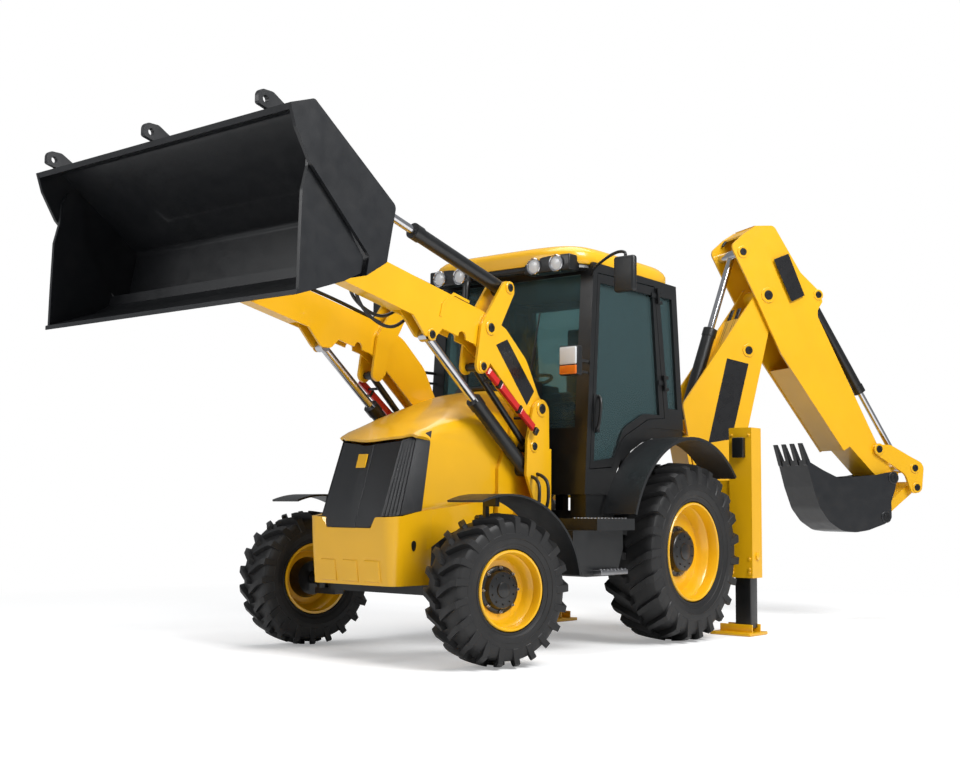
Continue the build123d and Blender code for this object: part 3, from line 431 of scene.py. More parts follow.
# axle: hub radius, face of the disc, face of the hub's cover, nuts
HUBS = {"front": (0.148, 0.010, 0.075, 8), "rear": (0.190, 0.030, 0.120, 10)}
for axle, radius, width, rim, x, y, steer, _, _ in TYRES:
    hub, dish, top, nut_count = HUBS[axle]
    w, r = width / 2 * 0.86, rim - 0.0003
    pressed = spin([(r, -w), (r, w - 0.012), (r, w), (r - 0.006, w + 0.006), (r - 0.016, w + 0.004),
                    (r - 0.022, w - 0.008), (r - 0.026, w * 0.60), (r - 0.040, w * 0.52),
                    (r - 0.052, w * 0.25), (r - 0.062, w * 0.15), (hub + 0.030, dish + 0.012),
                    (hub - 0.02, dish + 0.006), (hub - 0.02, dish - 0.02), (hub + 0.030, dish - 0.012),
                    (r - 0.074, w * 0.05), (r - 0.060, w * 0.02), (r - 0.050, -w * 0.3),
                    (r - 0.020, -w * 0.5), (r - 0.016, -w)], 72)
    cover = turned([(hub * 0.80, dish - 0.10), (hub, dish - 0.005), (hub, dish + 0.014),
                    (hub - 0.008, dish + 0.020), (hub * 0.84, dish + 0.022), (hub * 0.82, dish + 0.028),
                    (hub * 0.79, top - 0.022), (hub * 0.75, top - 0.014), (hub * 0.70, top - 0.012),
                    (hub * 0.34, top - 0.010), (hub * 0.32, top - 0.002), (hub * 0.29, top)], 48)
    bolt = turned([(0.0065, 0.0), (0.0065, 0.007), (0.005, 0.009)], 6)
    nut = turned([(0.011, 0.0), (0.011, 0.012), (0.009, 0.014), (0.006, 0.014), (0.006, 0.024),
                  (0.005, 0.026)], 6)
    cast = merged([cover] + circle_of(bolt, hub * 0.60, 10, top - 0.013))
    nuts = merged(circle_of(nut, hub * 0.92, nut_count, dish + 0.016))
    for hand, side in SIDES:
        wheel = axle + "_" + hand
        for kind, (points, faces), finish in (("rim_", pressed, yellow), ("hub_", cast, black),
                                              ("nuts_", nuts, steel)):
            stood = on_axle(points, side, x, y, radius, steer)
            shape = build(kind + wheel, stood, faces, finish, "wheel_" + wheel)
            if kind != "nuts_":
                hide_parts("wheel_" + wheel)


# ---- Pins ----------------------------------------------------------------------------------
# Hardened pins through every pivot: a dark greased end with a drilled centre, in a weld ring of the
# plate's own colour.
def facing(part, place, direction):
    """Shape made about z, turned so that z lies along a direction, and moved to a place."""
    points, faces = part
    z = np.asarray(direction, dtype=float) / np.linalg.norm(direction)
    x = np.cross((0.0, 0.3, 1.0) if abs(z[2]) < 0.9 else (1.0, 0.0, 0.0), z)
    x /= np.linalg.norm(x)
    turn = np.stack([x, np.cross(z, x), z])
    return np.asarray(points).reshape(-1, 3) @ turn + place, faces


SWING = radians(-30.0)
SLEW_Y = 1.360
REACH = np.array([-sin(SWING), cos(SWING), 0.0])
ACROSS = np.array([cos(SWING), sin(SWING), 0.0])
ARM_FACE, ROOT_FACE = 0.534, 0.560
BOOM_FACE, GUIDE_FACE = 0.150, 0.190


def hoe(reach, height, off=0.0):
    """Point of the backhoe: reach from the slew axis, height, and distance to the machine's left of
    the boom's middle plane."""
    return np.array([0.0, SLEW_Y, height]) + REACH * reach + ACROSS * off


# body, (y, z), x of the outer face, pin radius, ring radius
ARM_PINS = [
    ("chassis", (-1.291, 1.678), ROOT_FACE, 0.034, 0.058),
    ("levers", (-1.862, 2.189), ROOT_FACE, 0.030, 0.052),
    ("levers", (-1.660, 2.489), ROOT_FACE, 0.026, 0.044),
    ("levers", (-1.939, 1.921), ROOT_FACE, 0.026, 0.044),
    ("loader_arms", (-2.425, 2.085), ARM_FACE, 0.026, 0.040),
    ("bucket_pins", (-3.400, 2.465), 0.584, 0.032, 0.0),
    ("shovel", (-3.598, 3.041), ARM_FACE, 0.024, 0.0),
    ("chassis", (-1.376, 1.411), ROOT_FACE, 0.026, 0.042),
]
# body, (reach, height), distance of the face from the middle plane, pin radius, ring radius
HOE_PINS = [
    ("king_post", (0.300, 0.950), 0.200, 0.045, 0.070),
    ("king_post", (0.450, 0.600), 0.200, 0.036, 0.058),
    ("boom", (0.691, 2.411), BOOM_FACE, 0.036, 0.060),
    ("dipper_guide", (0.877, 2.918), GUIDE_FACE, 0.042, 0.072),
    ("dipper_guide", (0.619, 3.295), GUIDE_FACE, 0.032, 0.056),
    ("hoe_bucket", (2.165, 1.295), 0.230, 0.034, 0.056),
    ("hoe_bucket", (2.078, 0.935), 0.230, 0.032, 0.054),
    ("tipping_lever", (2.040, 1.557), 0.195, 0.032, 0.054),
    ("tipping_lever", (2.435, 1.390), 0.195, 0.030, 0.050),
    ("tipping_lever", (2.454, 1.210), 0.195, 0.030, 0.050),
    ("dipper_slider", (1.425, 2.960), 0.165, 0.030, 0.050),
]
places = {}
for side in (1, -1):
    for body, at, face, pin_r, ring_r in ARM_PINS:
        places.setdefault(body, []).append(((side * face, *at), (side, 0, 0), pin_r, ring_r))
    for body, at, face, pin_r, ring_r in HOE_PINS:
        places.setdefault(body, []).append((hoe(*at, side * face), ACROSS * side, pin_r, ring_r))
for body, rows in places.items():
    pins, rings = [], []
    for place, direction, pin_r, ring_r in rows:
        pins.append(facing(turned([(pin_r, -0.004), (pin_r, 0.011), (pin_r - 0.003, 0.014),
                                   (pin_r * 0.35, 0.014), (pin_r * 0.3, 0.010), (0.002, 0.010)], 28),
                           place, direction))
        if ring_r:
            rings.append(facing(spin([(ring_r, -0.002), (ring_r, 0.005), (ring_r - 0.005, 0.009),
                                      (pin_r + 0.004, 0.009), (pin_r + 0.001, 0.006),
                                      (pin_r + 0.001, -0.002)], 36), place, direction))
    build("pins_" + body, *merged(pins), black, body)
    if rings:
        build("rings_" + body, *merged(rings), yellow if body != "hoe_bucket" else charcoal, body)


# ---- Nose ----------------------------------------------------------------------------------
# Cast front weight in yellow enamel over the axle's front: three pads stand off its face, a notch
# in its rim takes the grille's foot and a keyhole slot on each flank takes the tie-down hook.
def shelled(outer, inner):
    """Closed wall between two grids of one size: each row goes out along one grid and back along the
    other, and the first and last rows are closed across."""
    ring = np.concatenate([outer, inner[:, ::-1]], 1)
    rows, cols = ring.shape[:2]
    i = np.arange(outer.shape[1] - 1)
    ends = [np.stack([b + i, b + i + 1, b + cols - 2 - i, b + cols - 1 - i], 1).tolist()
            for b in (0, (rows - 1) * cols)]
    return ring, quads(rows, cols) + ends[0] + ends[1]


def slab(outline, direction, thick, edge=0.003):
    """Flat plate: its outline, the same moved by its thickness less the edge, and the face drawn in
    by the edge, closed at both ends."""
    rim = np.asarray(outline, dtype=float)
    way = np.asarray(direction, dtype=float) / np.linalg.norm(direction)
    inward = rim.mean(0) - rim
    inward /= np.linalg.norm(inward, axis=1)[:, None]
    return capped(np.stack([rim, rim + way * (thick - edge), rim + way * thick + inward * edge * 1.4]))


def mirrored(half):
    """Row of (x, ...) points from the middle out, joined to its mirror image: right side to left."""
    half = np.asarray(half, dtype=float)
    other = half[::-1].copy()
    other[:, 0] *= -1
    return np.concatenate([other[:-1] if half[0, 0] == 0 else other, half])


def rim_height(y):
    """Height of the nose's rim, rising to the rear."""
    return np.interp(y, [-2.67, -2.525, -2.356, -2.17], [0.912, 0.925, 0.957, 0.980])


NOSE_FOOT, NOSE_RISE, SKIRT_X = 0.480, 0.53, 0.3785
nine = np.linspace(0, 1, 9)
levels = []
for z in NOSE_FOOT + NOSE_RISE * nine:
    front, flat, flank = [np.interp(z, [0.48, 0.70, 1.01], row) for row in
                          ([-2.582, -2.604, -2.630], [0.322, 0.312, 0.286], [0.384, 0.396, 0.398])]
    bend = [(flat + (flank - flat) * sin(a), front + 0.095 * (1 - cos(a))) for a in nine * pi / 2]
    face = [(x, front) for x in (0.0, 0.12, 0.17, 0.2, 0.222, 0.244, 0.266,
                                 0.285 if flat > 0.29 else 0.276)]
    levels.append(mirrored(face + bend + [(flank, -2.40), (flank, -2.25)]))
plan = np.stack(levels, 1)
inside, top_y = np.abs(plan[:, -1, 0]), plan[:, -1, 1]
notched = np.where((inside < 0.245) & (top_y < -2.5), np.interp(inside, [0.2, 0.244], [0.845, 0.912]),
                   rim_height(top_y))
share = nine[None, :] * (notched[:, None] - NOSE_FOOT) / NOSE_RISE
outer = np.stack([[np.interp(row, nine, line[:, axis]) for row, line in zip(share, plan)]
                  for axis in (0, 1)] + [NOSE_FOOT + NOSE_RISE * share], -1)
inner = outer * (0.93, 1.0, 1.0) + (0.0, 0.03, 0.0)
parts, keyholes = [shelled(outer, inner)], []
for x in (-0.2, 0.0, 0.2):
    pad = [(x - 0.072, -2.583, 0.500), (x + 0.072, -2.583, 0.500), (x + 0.066, -2.594, 0.640),
           (x - 0.066, -2.594, 0.640)]
    parts.append(slab(pad, (0, -1, 0.07), 0.012, 0.007))
for side in (1, -1):
    skirt = [(side * SKIRT_X, y, z) for y, z in ((-2.30, 0.700), (-2.30, 0.960), (-1.615, 1.040),
                                                 (-1.615, 0.870), (-1.90, 0.860), (-2.10, 0.800))]
    parts.append(slab(skirt, (side, 0, 0), 0.018, 0.003))
    hole = [(side * 0.3975, -2.420 + 0.022 * cos(a), 0.745 + (0.022 if a < pi else 0.045) * sin(a))
            for a in circle(24)]
    keyholes.append(slab(hole, (side, 0, 0), 0.0016, 0.0004))
shape = build("nose_casting", *merged(parts), yellow, "chassis", 40.0)
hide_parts("nose")
build("nose_keyholes", *merged(keyholes), black, "chassis")


# ---- Bonnet --------------------------------------------------------------------------------
# One-piece moulded hood in yellow, hinged at the cab: upright sides with a crease, soft shoulders
# and a low crown, with a lip that overhangs the grille.
# y, half width low, half width at the shoulder, side's foot, shoulder, crown
BONNET_ROWS = np.array([
    (-2.56, 0.392, 0.322, 0.92, 1.385, 1.392), (-2.45, 0.395, 0.332, 0.94, 1.415, 1.425),
    (-2.30, 0.397, 0.336, 0.968, 1.490, 1.520), (-2.10, 0.398, 0.342, 0.985, 1.555, 1.615),
    (-1.90, 0.398, 0.345, 1.02, 1.600, 1.690), (-1.64, 0.398, 0.350, 1.05, 1.648, 1.775),
    (-1.44, 0.396, 0.345, 1.20, 1.675, 1.812), (-1.25, 0.390, 0.340, 1.33, 1.700, 1.835)])


def bonnet_section(y, t):
    """Point of the section at y: t goes from 0 at the crown over the shoulder at 0.5, falling by a
    cube, to 1 at the side's foot, by a power a little above one."""
    low, high, foot, shoulder, crown = [np.interp(y, BONNET_ROWS[:, 0], BONNET_ROWS[:, k])
                                        for k in range(1, 6)]
    over, down = np.clip(t / 0.5, 0, 1), np.clip((t - 0.5) / 0.5, 0, 1)
    x = np.where(t < 0.5, high * over, low + (high - low) * np.clip(1 - down * 5, 0, 1) ** 2)
    z = np.where(t < 0.5, crown - (crown - shoulder) * over ** 3,
                 shoulder - (shoulder - foot) * down ** 1.15)
    return x, z


t = np.concatenate([np.linspace(0, 0.5, 15), 0.5 + 0.5 * np.linspace(0, 1, 22)[1:] ** 1.3])
side_x = np.interp(t, [0, 0.5, 1], [0.0, 0.33, 0.398])
lip_line = np.interp(side_x, [0, 0.27, 0.335, 0.398], [-2.466, -2.412, -2.362, -2.30])
fore, on_seam = lip_line, np.clip((t - 0.52) * 12, 0, 1)
for _ in range(12):
    x, z = bonnet_section(fore, t)
    seam = np.interp(z, [0.90, 1.485], [-2.356, -2.259])
    fore = np.where(t > 0.52, seam * on_seam + lip_line * (1 - on_seam), lip_line)
aft = np.interp(t, [0, 0.5, 0.62, 1.0], [-1.262, -1.262, -1.262, -1.610])
y = fore[None, :] + (aft - fore)[None, :] * np.linspace(0, 1, 34)[:, None]
x, z = bonnet_section(y, t[None, :])
crease = 0.006 * np.exp(-((z - 1.455 + 0.10 * (y + 2.3)) / 0.012) ** 2) * (t[None, :] > 0.5)
half = np.stack([x - crease, y, z], -1)
outer = np.concatenate([half[:, :0:-1] * (-1, 1, 1), half], 1)
inner = outer * (0.955, 1, 1) - (0, 0, 0.016)
inner[0, :, 1] += 0.004
shape = build("bonnet_skin", *shelled(outer, inner), yellow, "bonnet", 50.0)
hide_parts("bonnet")


# ---- Grille --------------------------------------------------------------------------------
# Charcoal moulded panel that opens with the bonnet: a flat centre strip, two panels of fine mesh,
# five upright folds at each corner and plain sides; the badge's place is left blank.
def relief(t):
    """How far the panel's face stands in or out along its plan: the strip out, the folds a saw tooth."""
    strip = np.where(t < 0.235, 0.006, 0.0)
    return strip + np.where((t > 1.0) & (t < 2.0), -0.011 * (((t - 1.0) * 5) % 1.0), 0.0)


PANEL_FOOT, PANEL_RISE = 0.905, 0.575
folds = np.sort(np.concatenate([1.0 + np.arange(5) / 5 + 0.001, 1.0 + (np.arange(5) + 0.995) / 5]))
half_t = np.concatenate([[0, 0.1, 0.2, 0.228, 0.236], np.linspace(0.26, 0.98, 9), folds,
                         [2.02, 2.2, 2.4, 2.6, 2.8, 3.0]])
foot = np.array([(0, -2.607), (0.27, -2.598), (0.36, -2.522), (0.396, -2.357)])
head = np.array([(0, -2.434), (0.265, -2.379), (0.335, -2.329), (0.396, -2.260)])
low, high = [np.stack([np.interp(half_t, range(4), line[:, k]) for k in (0, 1)], 1)
             for line in (foot, head)]
way = np.gradient(low, axis=0)
way /= np.linalg.norm(way, axis=1)[:, None]
push = np.stack([-way[:, 1], way[:, 0]], 1) * -relief(half_t)[:, None]
low, high = low + push, high + push
top = (1.388 + 0.478 * (low[:, 1] + 2.454) - PANEL_FOOT) / (PANEL_RISE - 0.478 * (high[:, 1] - low[:, 1]))
base = np.where(low[:, 0] < 0.25, np.interp(low[:, 0], [0.195, 0.25], [-0.098, 0.03]),
                np.maximum((rim_height(low[:, 1]) - PANEL_FOOT) / PANEL_RISE, 0.0) + 0.002)
h = base[:, None] + (top - base)[:, None] * np.linspace(0, 1, 12)[None, :]
plan = low[:, None, :] + (high - low)[:, None, :] * h[..., None]
half = np.concatenate([plan, (PANEL_FOOT + PANEL_RISE * h)[..., None]], -1)
outer = np.concatenate([half[:0:-1] * (-1, 1, 1), half])
inner = outer * (0.94, 1, 1) + (0, 0.028, 0)
mesh_panel = enamel("grille_mesh", (0.011, 0.012, 0.014), 0.40, 0.1, ripple=0.003, grain=900.0)
shape = build("grille_panel", *shelled(outer, inner), mesh_panel, "bonnet", 24.0)
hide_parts("grille")
badge = [(x, np.interp(z, [0.905, 1.48], [-2.613, -2.440]) + 0.001, z)
         for x, z in ((-0.042, 1.235), (0.042, 1.235), (0.042, 1.325), (-0.042, 1.325))]
build("grille_badge", *slab(badge, (0, -1, 0.3), 0.006, 0.002), yellow, "bonnet")


# ---- Roof ----------------------------------------------------------------------------------
# Moulded cab roof in yellow: a crowned skin with round corners over a black gutter lip, with a
# black recess on each side of its front edge for two round work lamps.
def rounded_box(low, high, edge):
    """Box with round edges: rings of a round-cornered rectangle, drawn in near both ends by a
    quarter circle."""
    (x0, y0, z0), (x1, y1, z1) = low, high
    a = np.concatenate([np.linspace(q, q + pi / 2, 5) for q in (0, pi / 2, pi, 3 * pi / 2)])
    cx = np.repeat([x1 - edge, x0 + edge, x0 + edge, x1 - edge], 5)
    cy = np.repeat([y1 - edge, y1 - edge, y0 + edge, y0 + edge], 5)
    bend = np.linspace(0, pi / 2, 4)
    rows = [(b, z0 + edge * (1 - cos(b))) for b in bend]
    rows += [(b, z1 - edge * (1 - cos(b))) for b in bend[::-1]]
    return capped(np.stack([np.stack([cx + edge * sin(b) * np.cos(a), cy + edge * sin(b) * np.sin(a),
                                      np.full(len(a), z)], 1) for b, z in rows]))


def sided_box(side, low, high, edge):
    """Box with round edges on one side of the machine; its x is measured outward."""
    x0, x1 = sorted((side * low[0], side * high[0]))
    return rounded_box((x0, *low[1:]), (x1, *high[1:]), edge)


ROOF_HALF_X, ROOF_HALF_Y, ROOF_MID_Y, ROOF_Z, ROOF_CORNER = 0.748, 0.685, -0.4275, 2.752, 0.36


def roof_ring(inset, rise, count=72):
    """Ring of a round-cornered plan, by a superellipse, drawn in by an inset and raised, lower at the
    rear and bowed forward at the front."""
    c, s = np.cos(circle(count)), np.sin(circle(count))
    x = np.sign(c) * np.abs(c) ** ROOF_CORNER * (ROOF_HALF_X - inset)
    y = ROOF_MID_Y + np.sign(s) * np.abs(s) ** ROOF_CORNER * (ROOF_HALF_Y - inset)
    y -= 0.018 * (1 - (x / 0.75) ** 2) * (s < 0)
    z = ROOF_Z + rise - 0.030 * (y + 1.1) / 1.4
    return np.stack([x, np.clip(y, -1.119, 0.259), z], 1)


ROOF_RINGS = [(0.060, -0.002), (0.010, -0.002), (0.000, 0.012), (0.000, 0.070), (0.012, 0.096),
              (0.040, 0.122), (0.090, 0.141), (0.180, 0.153), (0.320, 0.162), (0.500, 0.166),
              (0.660, 0.167)]
GUTTER_RINGS = [(0.065, -0.004), (0.020, -0.004), (0.014, -0.030), (0.030, -0.044), (0.065, -0.044),
                (0.065, -0.004)]
LAMP_Y, LAMP_TILT = -1.114, (0, -1, -0.08)
roof = capped(np.stack([roof_ring(*row) for row in ROOF_RINGS]))
shape = build("roof_shell", *roof, yellow, "chassis", 45.0)
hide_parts("cab_roof")
gutter = np.stack([roof_ring(*row) for row in GUTTER_RINGS])
build("roof_gutter", gutter, quads(*gutter.shape[:2]), black, "chassis")
rim = spin([(0.062, -0.03), (0.062, 0.020), (0.058, 0.024), (0.052, 0.020), (0.050, -0.03)], 40)
lens = turned([(0.051, -0.01), (0.051, 0.010), (0.040, 0.017), (0.022, 0.021), (0.004, 0.022)], 40)
bays, rims, lenses = [], [], []
for side in (1, -1):
    bays.append(sided_box(side, (0.262, -1.1185, 2.688), (0.672, -0.99, 2.806), 0.012))
    for x, z in ((0.358, 2.742), (0.560, 2.744)):
        rims.append(facing(rim, (side * x, LAMP_Y, z), LAMP_TILT))
        lenses.append(facing(lens, (side * x, LAMP_Y, z), LAMP_TILT))
for name, parts, finish in (("lamp_bays", bays, black), ("lamp_rims", rims, chrome),
                            ("lamp_lenses", lenses, clear)):
    build(name, *merged(parts), finish, "chassis")


# ---- Mirrors and turn lamps ----------------------------------------------------------------
# Black moulded mirror heads on bent tube arms from the roof's corners, and lamp clusters, a clear
# lens over an amber one, on brackets at the front pillars. The right mirror is folded in a little.
def swept(path, radius, count=12):
    """Round tube: rings square to a path, each ring's frame carried on from the last, closed at both
    ends."""
    path = np.asarray(path, dtype=float)
    along = np.gradient(path, axis=0)
    along /= np.linalg.norm(along, axis=1)[:, None]
    across = np.cross(along[0], (0.31, 0.17, 0.94))
    a, rings = circle(count)[:, None], []
    for place, way in zip(path, along):
        across = across - way * across.dot(way)
        across /= np.linalg.norm(across)
        rings.append(place + radius * (np.cos(a) * across + np.sin(a) * np.cross(way, across)))
    return capped(np.stack(rings))


def curved(points, steps=8):
    """Smooth path past corner points: a quadratic blend between the middles of the runs."""
    p = np.asarray(points, dtype=float)
    mids = np.concatenate([p[:1], (p[:-1] + p[1:]) / 2, p[-1:]])
    s = np.linspace(0, 1, steps, endpoint=False)[:, None]
    runs = [(1 - s) ** 2 * a + 2 * s * (1 - s) * b + s ** 2 * c for a, b, c in zip(mids[:-1], p, mids[1:])]
    return np.concatenate(runs + [p[-1:]])


heads, arms, glasses, brackets, ambers, clears = [], [], [], [], [], []
for side, fold in ((1, 0.0), (-1, 0.130)):
    heads.append(sided_box(side, (1.13 - fold, -1.245, 2.455), (1.30 - fold, -1.190, 2.705), 0.022))
    arm = np.array([(0.735, -0.93, 2.665), (0.80, -1.00, 2.70), (1.10 - fold, -1.19, 2.745),
                    (1.215 - fold, -1.215, 2.74), (1.215 - fold, -1.215, 2.69)])
    arms.append(swept(curved(arm * (side, 1, 1)), 0.011))
    glasses.append(slab([(side * (x - fold), -1.190, z) for x, z in
                         ((1.142, 2.475), (1.288, 2.475), (1.288, 2.685), (1.142, 2.685))],
                        (0, 1, 0), 0.003, 0.001))
    brackets.append(sided_box(side, (0.705, -1.285, 1.905), (0.865, -1.222, 2.112), 0.012))
    for z, end, radius in ((2.03, -0.985, 0.012), (1.95, -0.990, 0.010)):
        strap = np.array([(0.755, -1.23, z), (0.745, -1.12, z), (0.738, end, z)])
        brackets.append(swept(curved(strap * (side, 1, 1)), radius))
    ambers.append(sided_box(side, (0.713, -1.294, 1.912), (0.857, -1.262, 1.974), 0.008))
    clears.append(sided_box(side, (0.713, -1.294, 1.980), (0.857, -1.262, 2.104), 0.010))
for name, parts, finish in (("mirror_heads", heads, moulded), ("mirror_arms", arms, black),
                            ("mirror_glasses", glasses, chrome), ("turn_brackets", brackets, moulded),
                            ("turn_lenses", ambers, amber), ("side_lenses", clears, clear)):
    build(name, *merged(parts), finish, "chassis")


# ---- Cab inside ----------------------------------------------------------------------------
# Suspension seat with vinyl cushions on a black base between two consoles, a bank of levers behind
# the driver, a steering column with a thin-rimmed wheel and a wiper on the windscreen.
def cushion(half_x, half_y, crown, channels):
    """Crowned pad about the origin: a fourth-power pillow over a grid, face and back, whose face has
    shallow sewn channels across it."""
    uu, vv = np.meshgrid(np.linspace(-1, 1, 29), np.linspace(-1, 1, 25), indexing="ij")
    puff = (1 - np.abs(uu) ** 4) ** 0.5 * (1 - np.abs(vv) ** 4) ** 0.5
    seam = 1 - 0.16 * sum(np.exp(-((vv - c) / 0.05) ** 2) for c in channels)
    pull = 1 - 0.05 * uu ** 2 * vv ** 2
    points = np.stack([np.stack([uu * pull, vv * pull, z], -1) for z in (puff * seam, -0.55 * puff)])
    n, m = uu.shape
    i, j = np.arange(n - 1)[:, None], np.arange(m - 1)[None, :]
    one = np.stack([i * m + j, (i + 1) * m + j, (i + 1) * m + j + 1, i * m + j + 1], -1).reshape(-1, 4)
    faces = one.tolist() + (one[:, ::-1] + n * m).tolist()
    return (points * (half_x, half_y, crown)).reshape(-1, 3), faces


SEAT_LEAN = radians(10)
points, faces = cushion(0.235, 0.25, 0.062, (-0.35, 0.3))
shape = build("seat_cushion", points + (0.0, -0.22, 1.83), faces, vinyl, "chassis", 60.0)
points, faces = cushion(0.225, 0.31, 0.055, (-0.45, 0.0, 0.45))
leaned = np.stack([points[:, 0],
                   0.087 - points[:, 2] * cos(SEAT_LEAN) + 0.16 * points[:, 1] * sin(SEAT_LEAN),
                   2.134 + points[:, 1]], 1)
shape = build("seat_back", leaned, faces, vinyl, "chassis", 60.0)
base = [rounded_box(low, high, 0.02) for low, high in (
    ((-0.20, -0.36, 1.665), (0.20, 0.02, 1.80)), ((-0.215, 0.07, 1.85), (0.215, 0.115, 2.45)),
    ((-0.34, -0.42, 1.665), (-0.27, 0.05, 1.98)), ((0.27, -0.42, 1.665), (0.34, 0.05, 1.98)),
    ((-0.30, 0.13, 1.66), (0.30, 0.20, 1.90)))]
base += [swept([(x, 0.165, 1.88), (x, 0.14, 2.05), (x, 0.13, 2.12)], 0.012)
         for x in (-0.20, -0.08, 0.08, 0.20)]
shape = build("seat_base", *merged(base), moulded, "chassis")
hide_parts("cab_interior")
RIM_R, RIM_THICK, WHEEL_Y, WHEEL_AXIS = 0.190, 0.014, -0.735, (0, -0.42, 1)
round_rim = [(RIM_R + RIM_THICK * cos(q), RIM_THICK * sin(q)) for q in circle(12)]
boss = turned([(0.05, -0.03), (0.058, 0.0), (0.05, 0.012), (0.02, 0.016)], 32)
column = [facing(spin(round_rim, 60), (0.0, WHEEL_Y, 1.935), WHEEL_AXIS),
          facing(boss, (0.0, WHEEL_Y, 1.93), WHEEL_AXIS),
          swept([(-0.185, WHEEL_Y, 1.932), (0.185, WHEEL_Y, 1.932)], 0.009),
          swept([(0.0, WHEEL_Y, 1.932), (0.0, -0.905, 1.862)], 0.009),
          swept([(0.0, -0.74, 1.92), (0.0, -0.83, 1.70), (0.0, -0.88, 1.45), (0.0, -0.90, 1.19)], 0.036, 20),
          rounded_box((-0.16, -0.955, 1.62), (0.16, -0.86, 1.80), 0.03),
          rounded_box((0.30, -0.965, 1.16), (0.36, -0.915, 1.72), 0.015)]
build("steering_column", *merged(column), moulded, "chassis")
pivot = turned([(0.02, 0.0), (0.02, 0.02), (0.014, 0.028)], 20)
wiper = [swept(curved([(0.10, -1.002, 1.62), (0.18, -0.995, 1.78), (0.26, -0.972, 2.15)]), 0.007, 8),
         swept([(0.20, -0.999, 1.80), (0.285, -0.955, 2.42)], 0.006, 8),
         facing(pivot, (0.10, -0.990, 1.62), (0, -1, 0))]
build("wiper", *merged(wiper), black, "chassis")

# ---- Doors ---------------------------------------------------------------------------------
# Black bow handle bent from round bar, on a thin plate near each door's front edge; it opens with
# the door.
for hand, side in SIDES:
    bow = np.array([(0.752, -0.905, 1.535), (0.782, -0.912, 1.56), (0.788, -0.895, 1.66),
                    (0.782, -0.878, 1.77), (0.752, -0.868, 1.79)])
    parts = [swept(curved(bow * (side, 1, 1)), 0.012),
             sided_box(side, (0.75, -0.925, 1.53), (0.757, -0.855, 1.80), 0.003)]
    build("door_handle_" + hand, *merged(parts), black, "door_" + hand)

# ---- Blank panels --------------------------------------------------------------------------
# Plain dark vinyl panels on the arms, the boom and the dipper, cut square and left blank, on the
# outer faces of both sides.
PROUD = 0.0002
ARM_PANEL = [(-1.772, 2.085), (-1.650, 2.135), (-1.345, 1.800), (-1.428, 1.695)]
# body, distance of the plate's face from the middle plane, (reach, height) of the corners
HOE_PANELS = [
    ("boom", BOOM_FACE, [(0.470, 2.330), (0.690, 2.290), (0.510, 1.610), (0.275, 1.570)]),
    ("dipper_guide", GUIDE_FACE, [(0.940, 3.250), (1.095, 3.315), (1.262, 2.940), (1.122, 2.875)]),
]
panels = [slab([(side * (ARM_FACE + PROUD), y, z) for y, z in ARM_PANEL], (side, 0, 0), 0.0012, 0.0003)
          for side in (1, -1)]
build("blank_panels_loader_arms", *merged(panels), decal, "loader_arms")
for body, face, corners in HOE_PANELS:
    panels = [slab([hoe(r, z, side * (face + PROUD)) for r, z in corners], ACROSS * side, 0.0012, 0.0003)
              for side in (1, -1)]
    build("blank_panels_" + body, *merged(panels), decal, body)


# ---- Safety strut --------------------------------------------------------------------------
# Red pressed-channel strut that props the raised arms, stowed along each levelling link on two
# clips, with black bands between its lengths and a black rubber tip.
def bar(line, first, last, wide, thick, edge):
    """Flat bar between two distances along a line, which holds its start, its direction, its half
    width and the way its face looks."""
    start, way, flank, out = line
    p, q = start + way * first, start + way * last
    return slab([p + flank * wide, q + flank * wide, q - flank * wide, p - flank * wide], out, thick, edge)


STRUT_X, STRUT_START, STRUT_END, STRUT_HALF = 0.590, (-1.935, 1.890), (-1.410, 1.515), 0.024
struts, tips = [], []
for side in (1, -1):
    start, end = np.array([side * STRUT_X, *STRUT_START]), np.array([side * STRUT_X, *STRUT_END])
    length = np.linalg.norm(end - start)
    way = (end - start) / length
    line = (start, way, np.cross(way, (1, 0, 0)) * STRUT_HALF, (side, 0, 0))
    struts += [bar(line, a, b, 1.0, 0.026, 0.010)
               for a, b in ((0.0, 0.135), (0.15, 0.40), (0.415, 0.615))]
    tips += [bar(line, a - 0.012, a + 0.012, 1.15, 0.030, 0.002) for a in (0.142, 0.408)]
    tips.append(bar(line, length - 0.015, length + 0.020, 1.0, 0.024, 0.004))
    tips += [swept([start + way * a, start + way * a - (side * 0.085, 0, 0)], 0.010) for a in (0.10, 0.50)]
build("safety_struts", *merged(struts), red, "links")
build("strut_clips", *merged(tips), black, "links")


# ---- Loader arm trim -----------------------------------------------------------------------
# A pressed stiffening rib on each arm's lug plate and two steel lines clipped along its top, from
# the levelling lever to the bucket's end.
def prism(outline, x0, x1):
    """Flat plate between two planes across the machine: its (y, z) outline stands on both."""
    return capped(np.stack([np.column_stack([np.full(len(outline), x), outline]) for x in (x0, x1)]))


RIB = [(-2.355, 2.215), (-2.330, 2.300), (-2.220, 2.385), (-2.060, 2.350), (-2.065, 2.335),
       (-2.210, 2.365), (-2.312, 2.290), (-2.335, 2.212)]
ARM_LINE = [(-1.90, 2.308), (-2.30, 2.412), (-2.86, 2.514), (-3.10, 2.524), (-3.30, 2.540)]
ribs, lines = [], []
for side in (1, -1):
    ribs.append(prism(RIB, side * ARM_FACE, side * (ARM_FACE + 0.006)))
    for off in (0.440, 0.465):
        lines.append(swept(curved([(side * off, y, z) for y, z in ARM_LINE]), 0.008, 10))
build("arm_ribs", *merged(ribs), yellow, "loader_arms")
build("arm_lines", *merged(lines), black, "loader_arms")

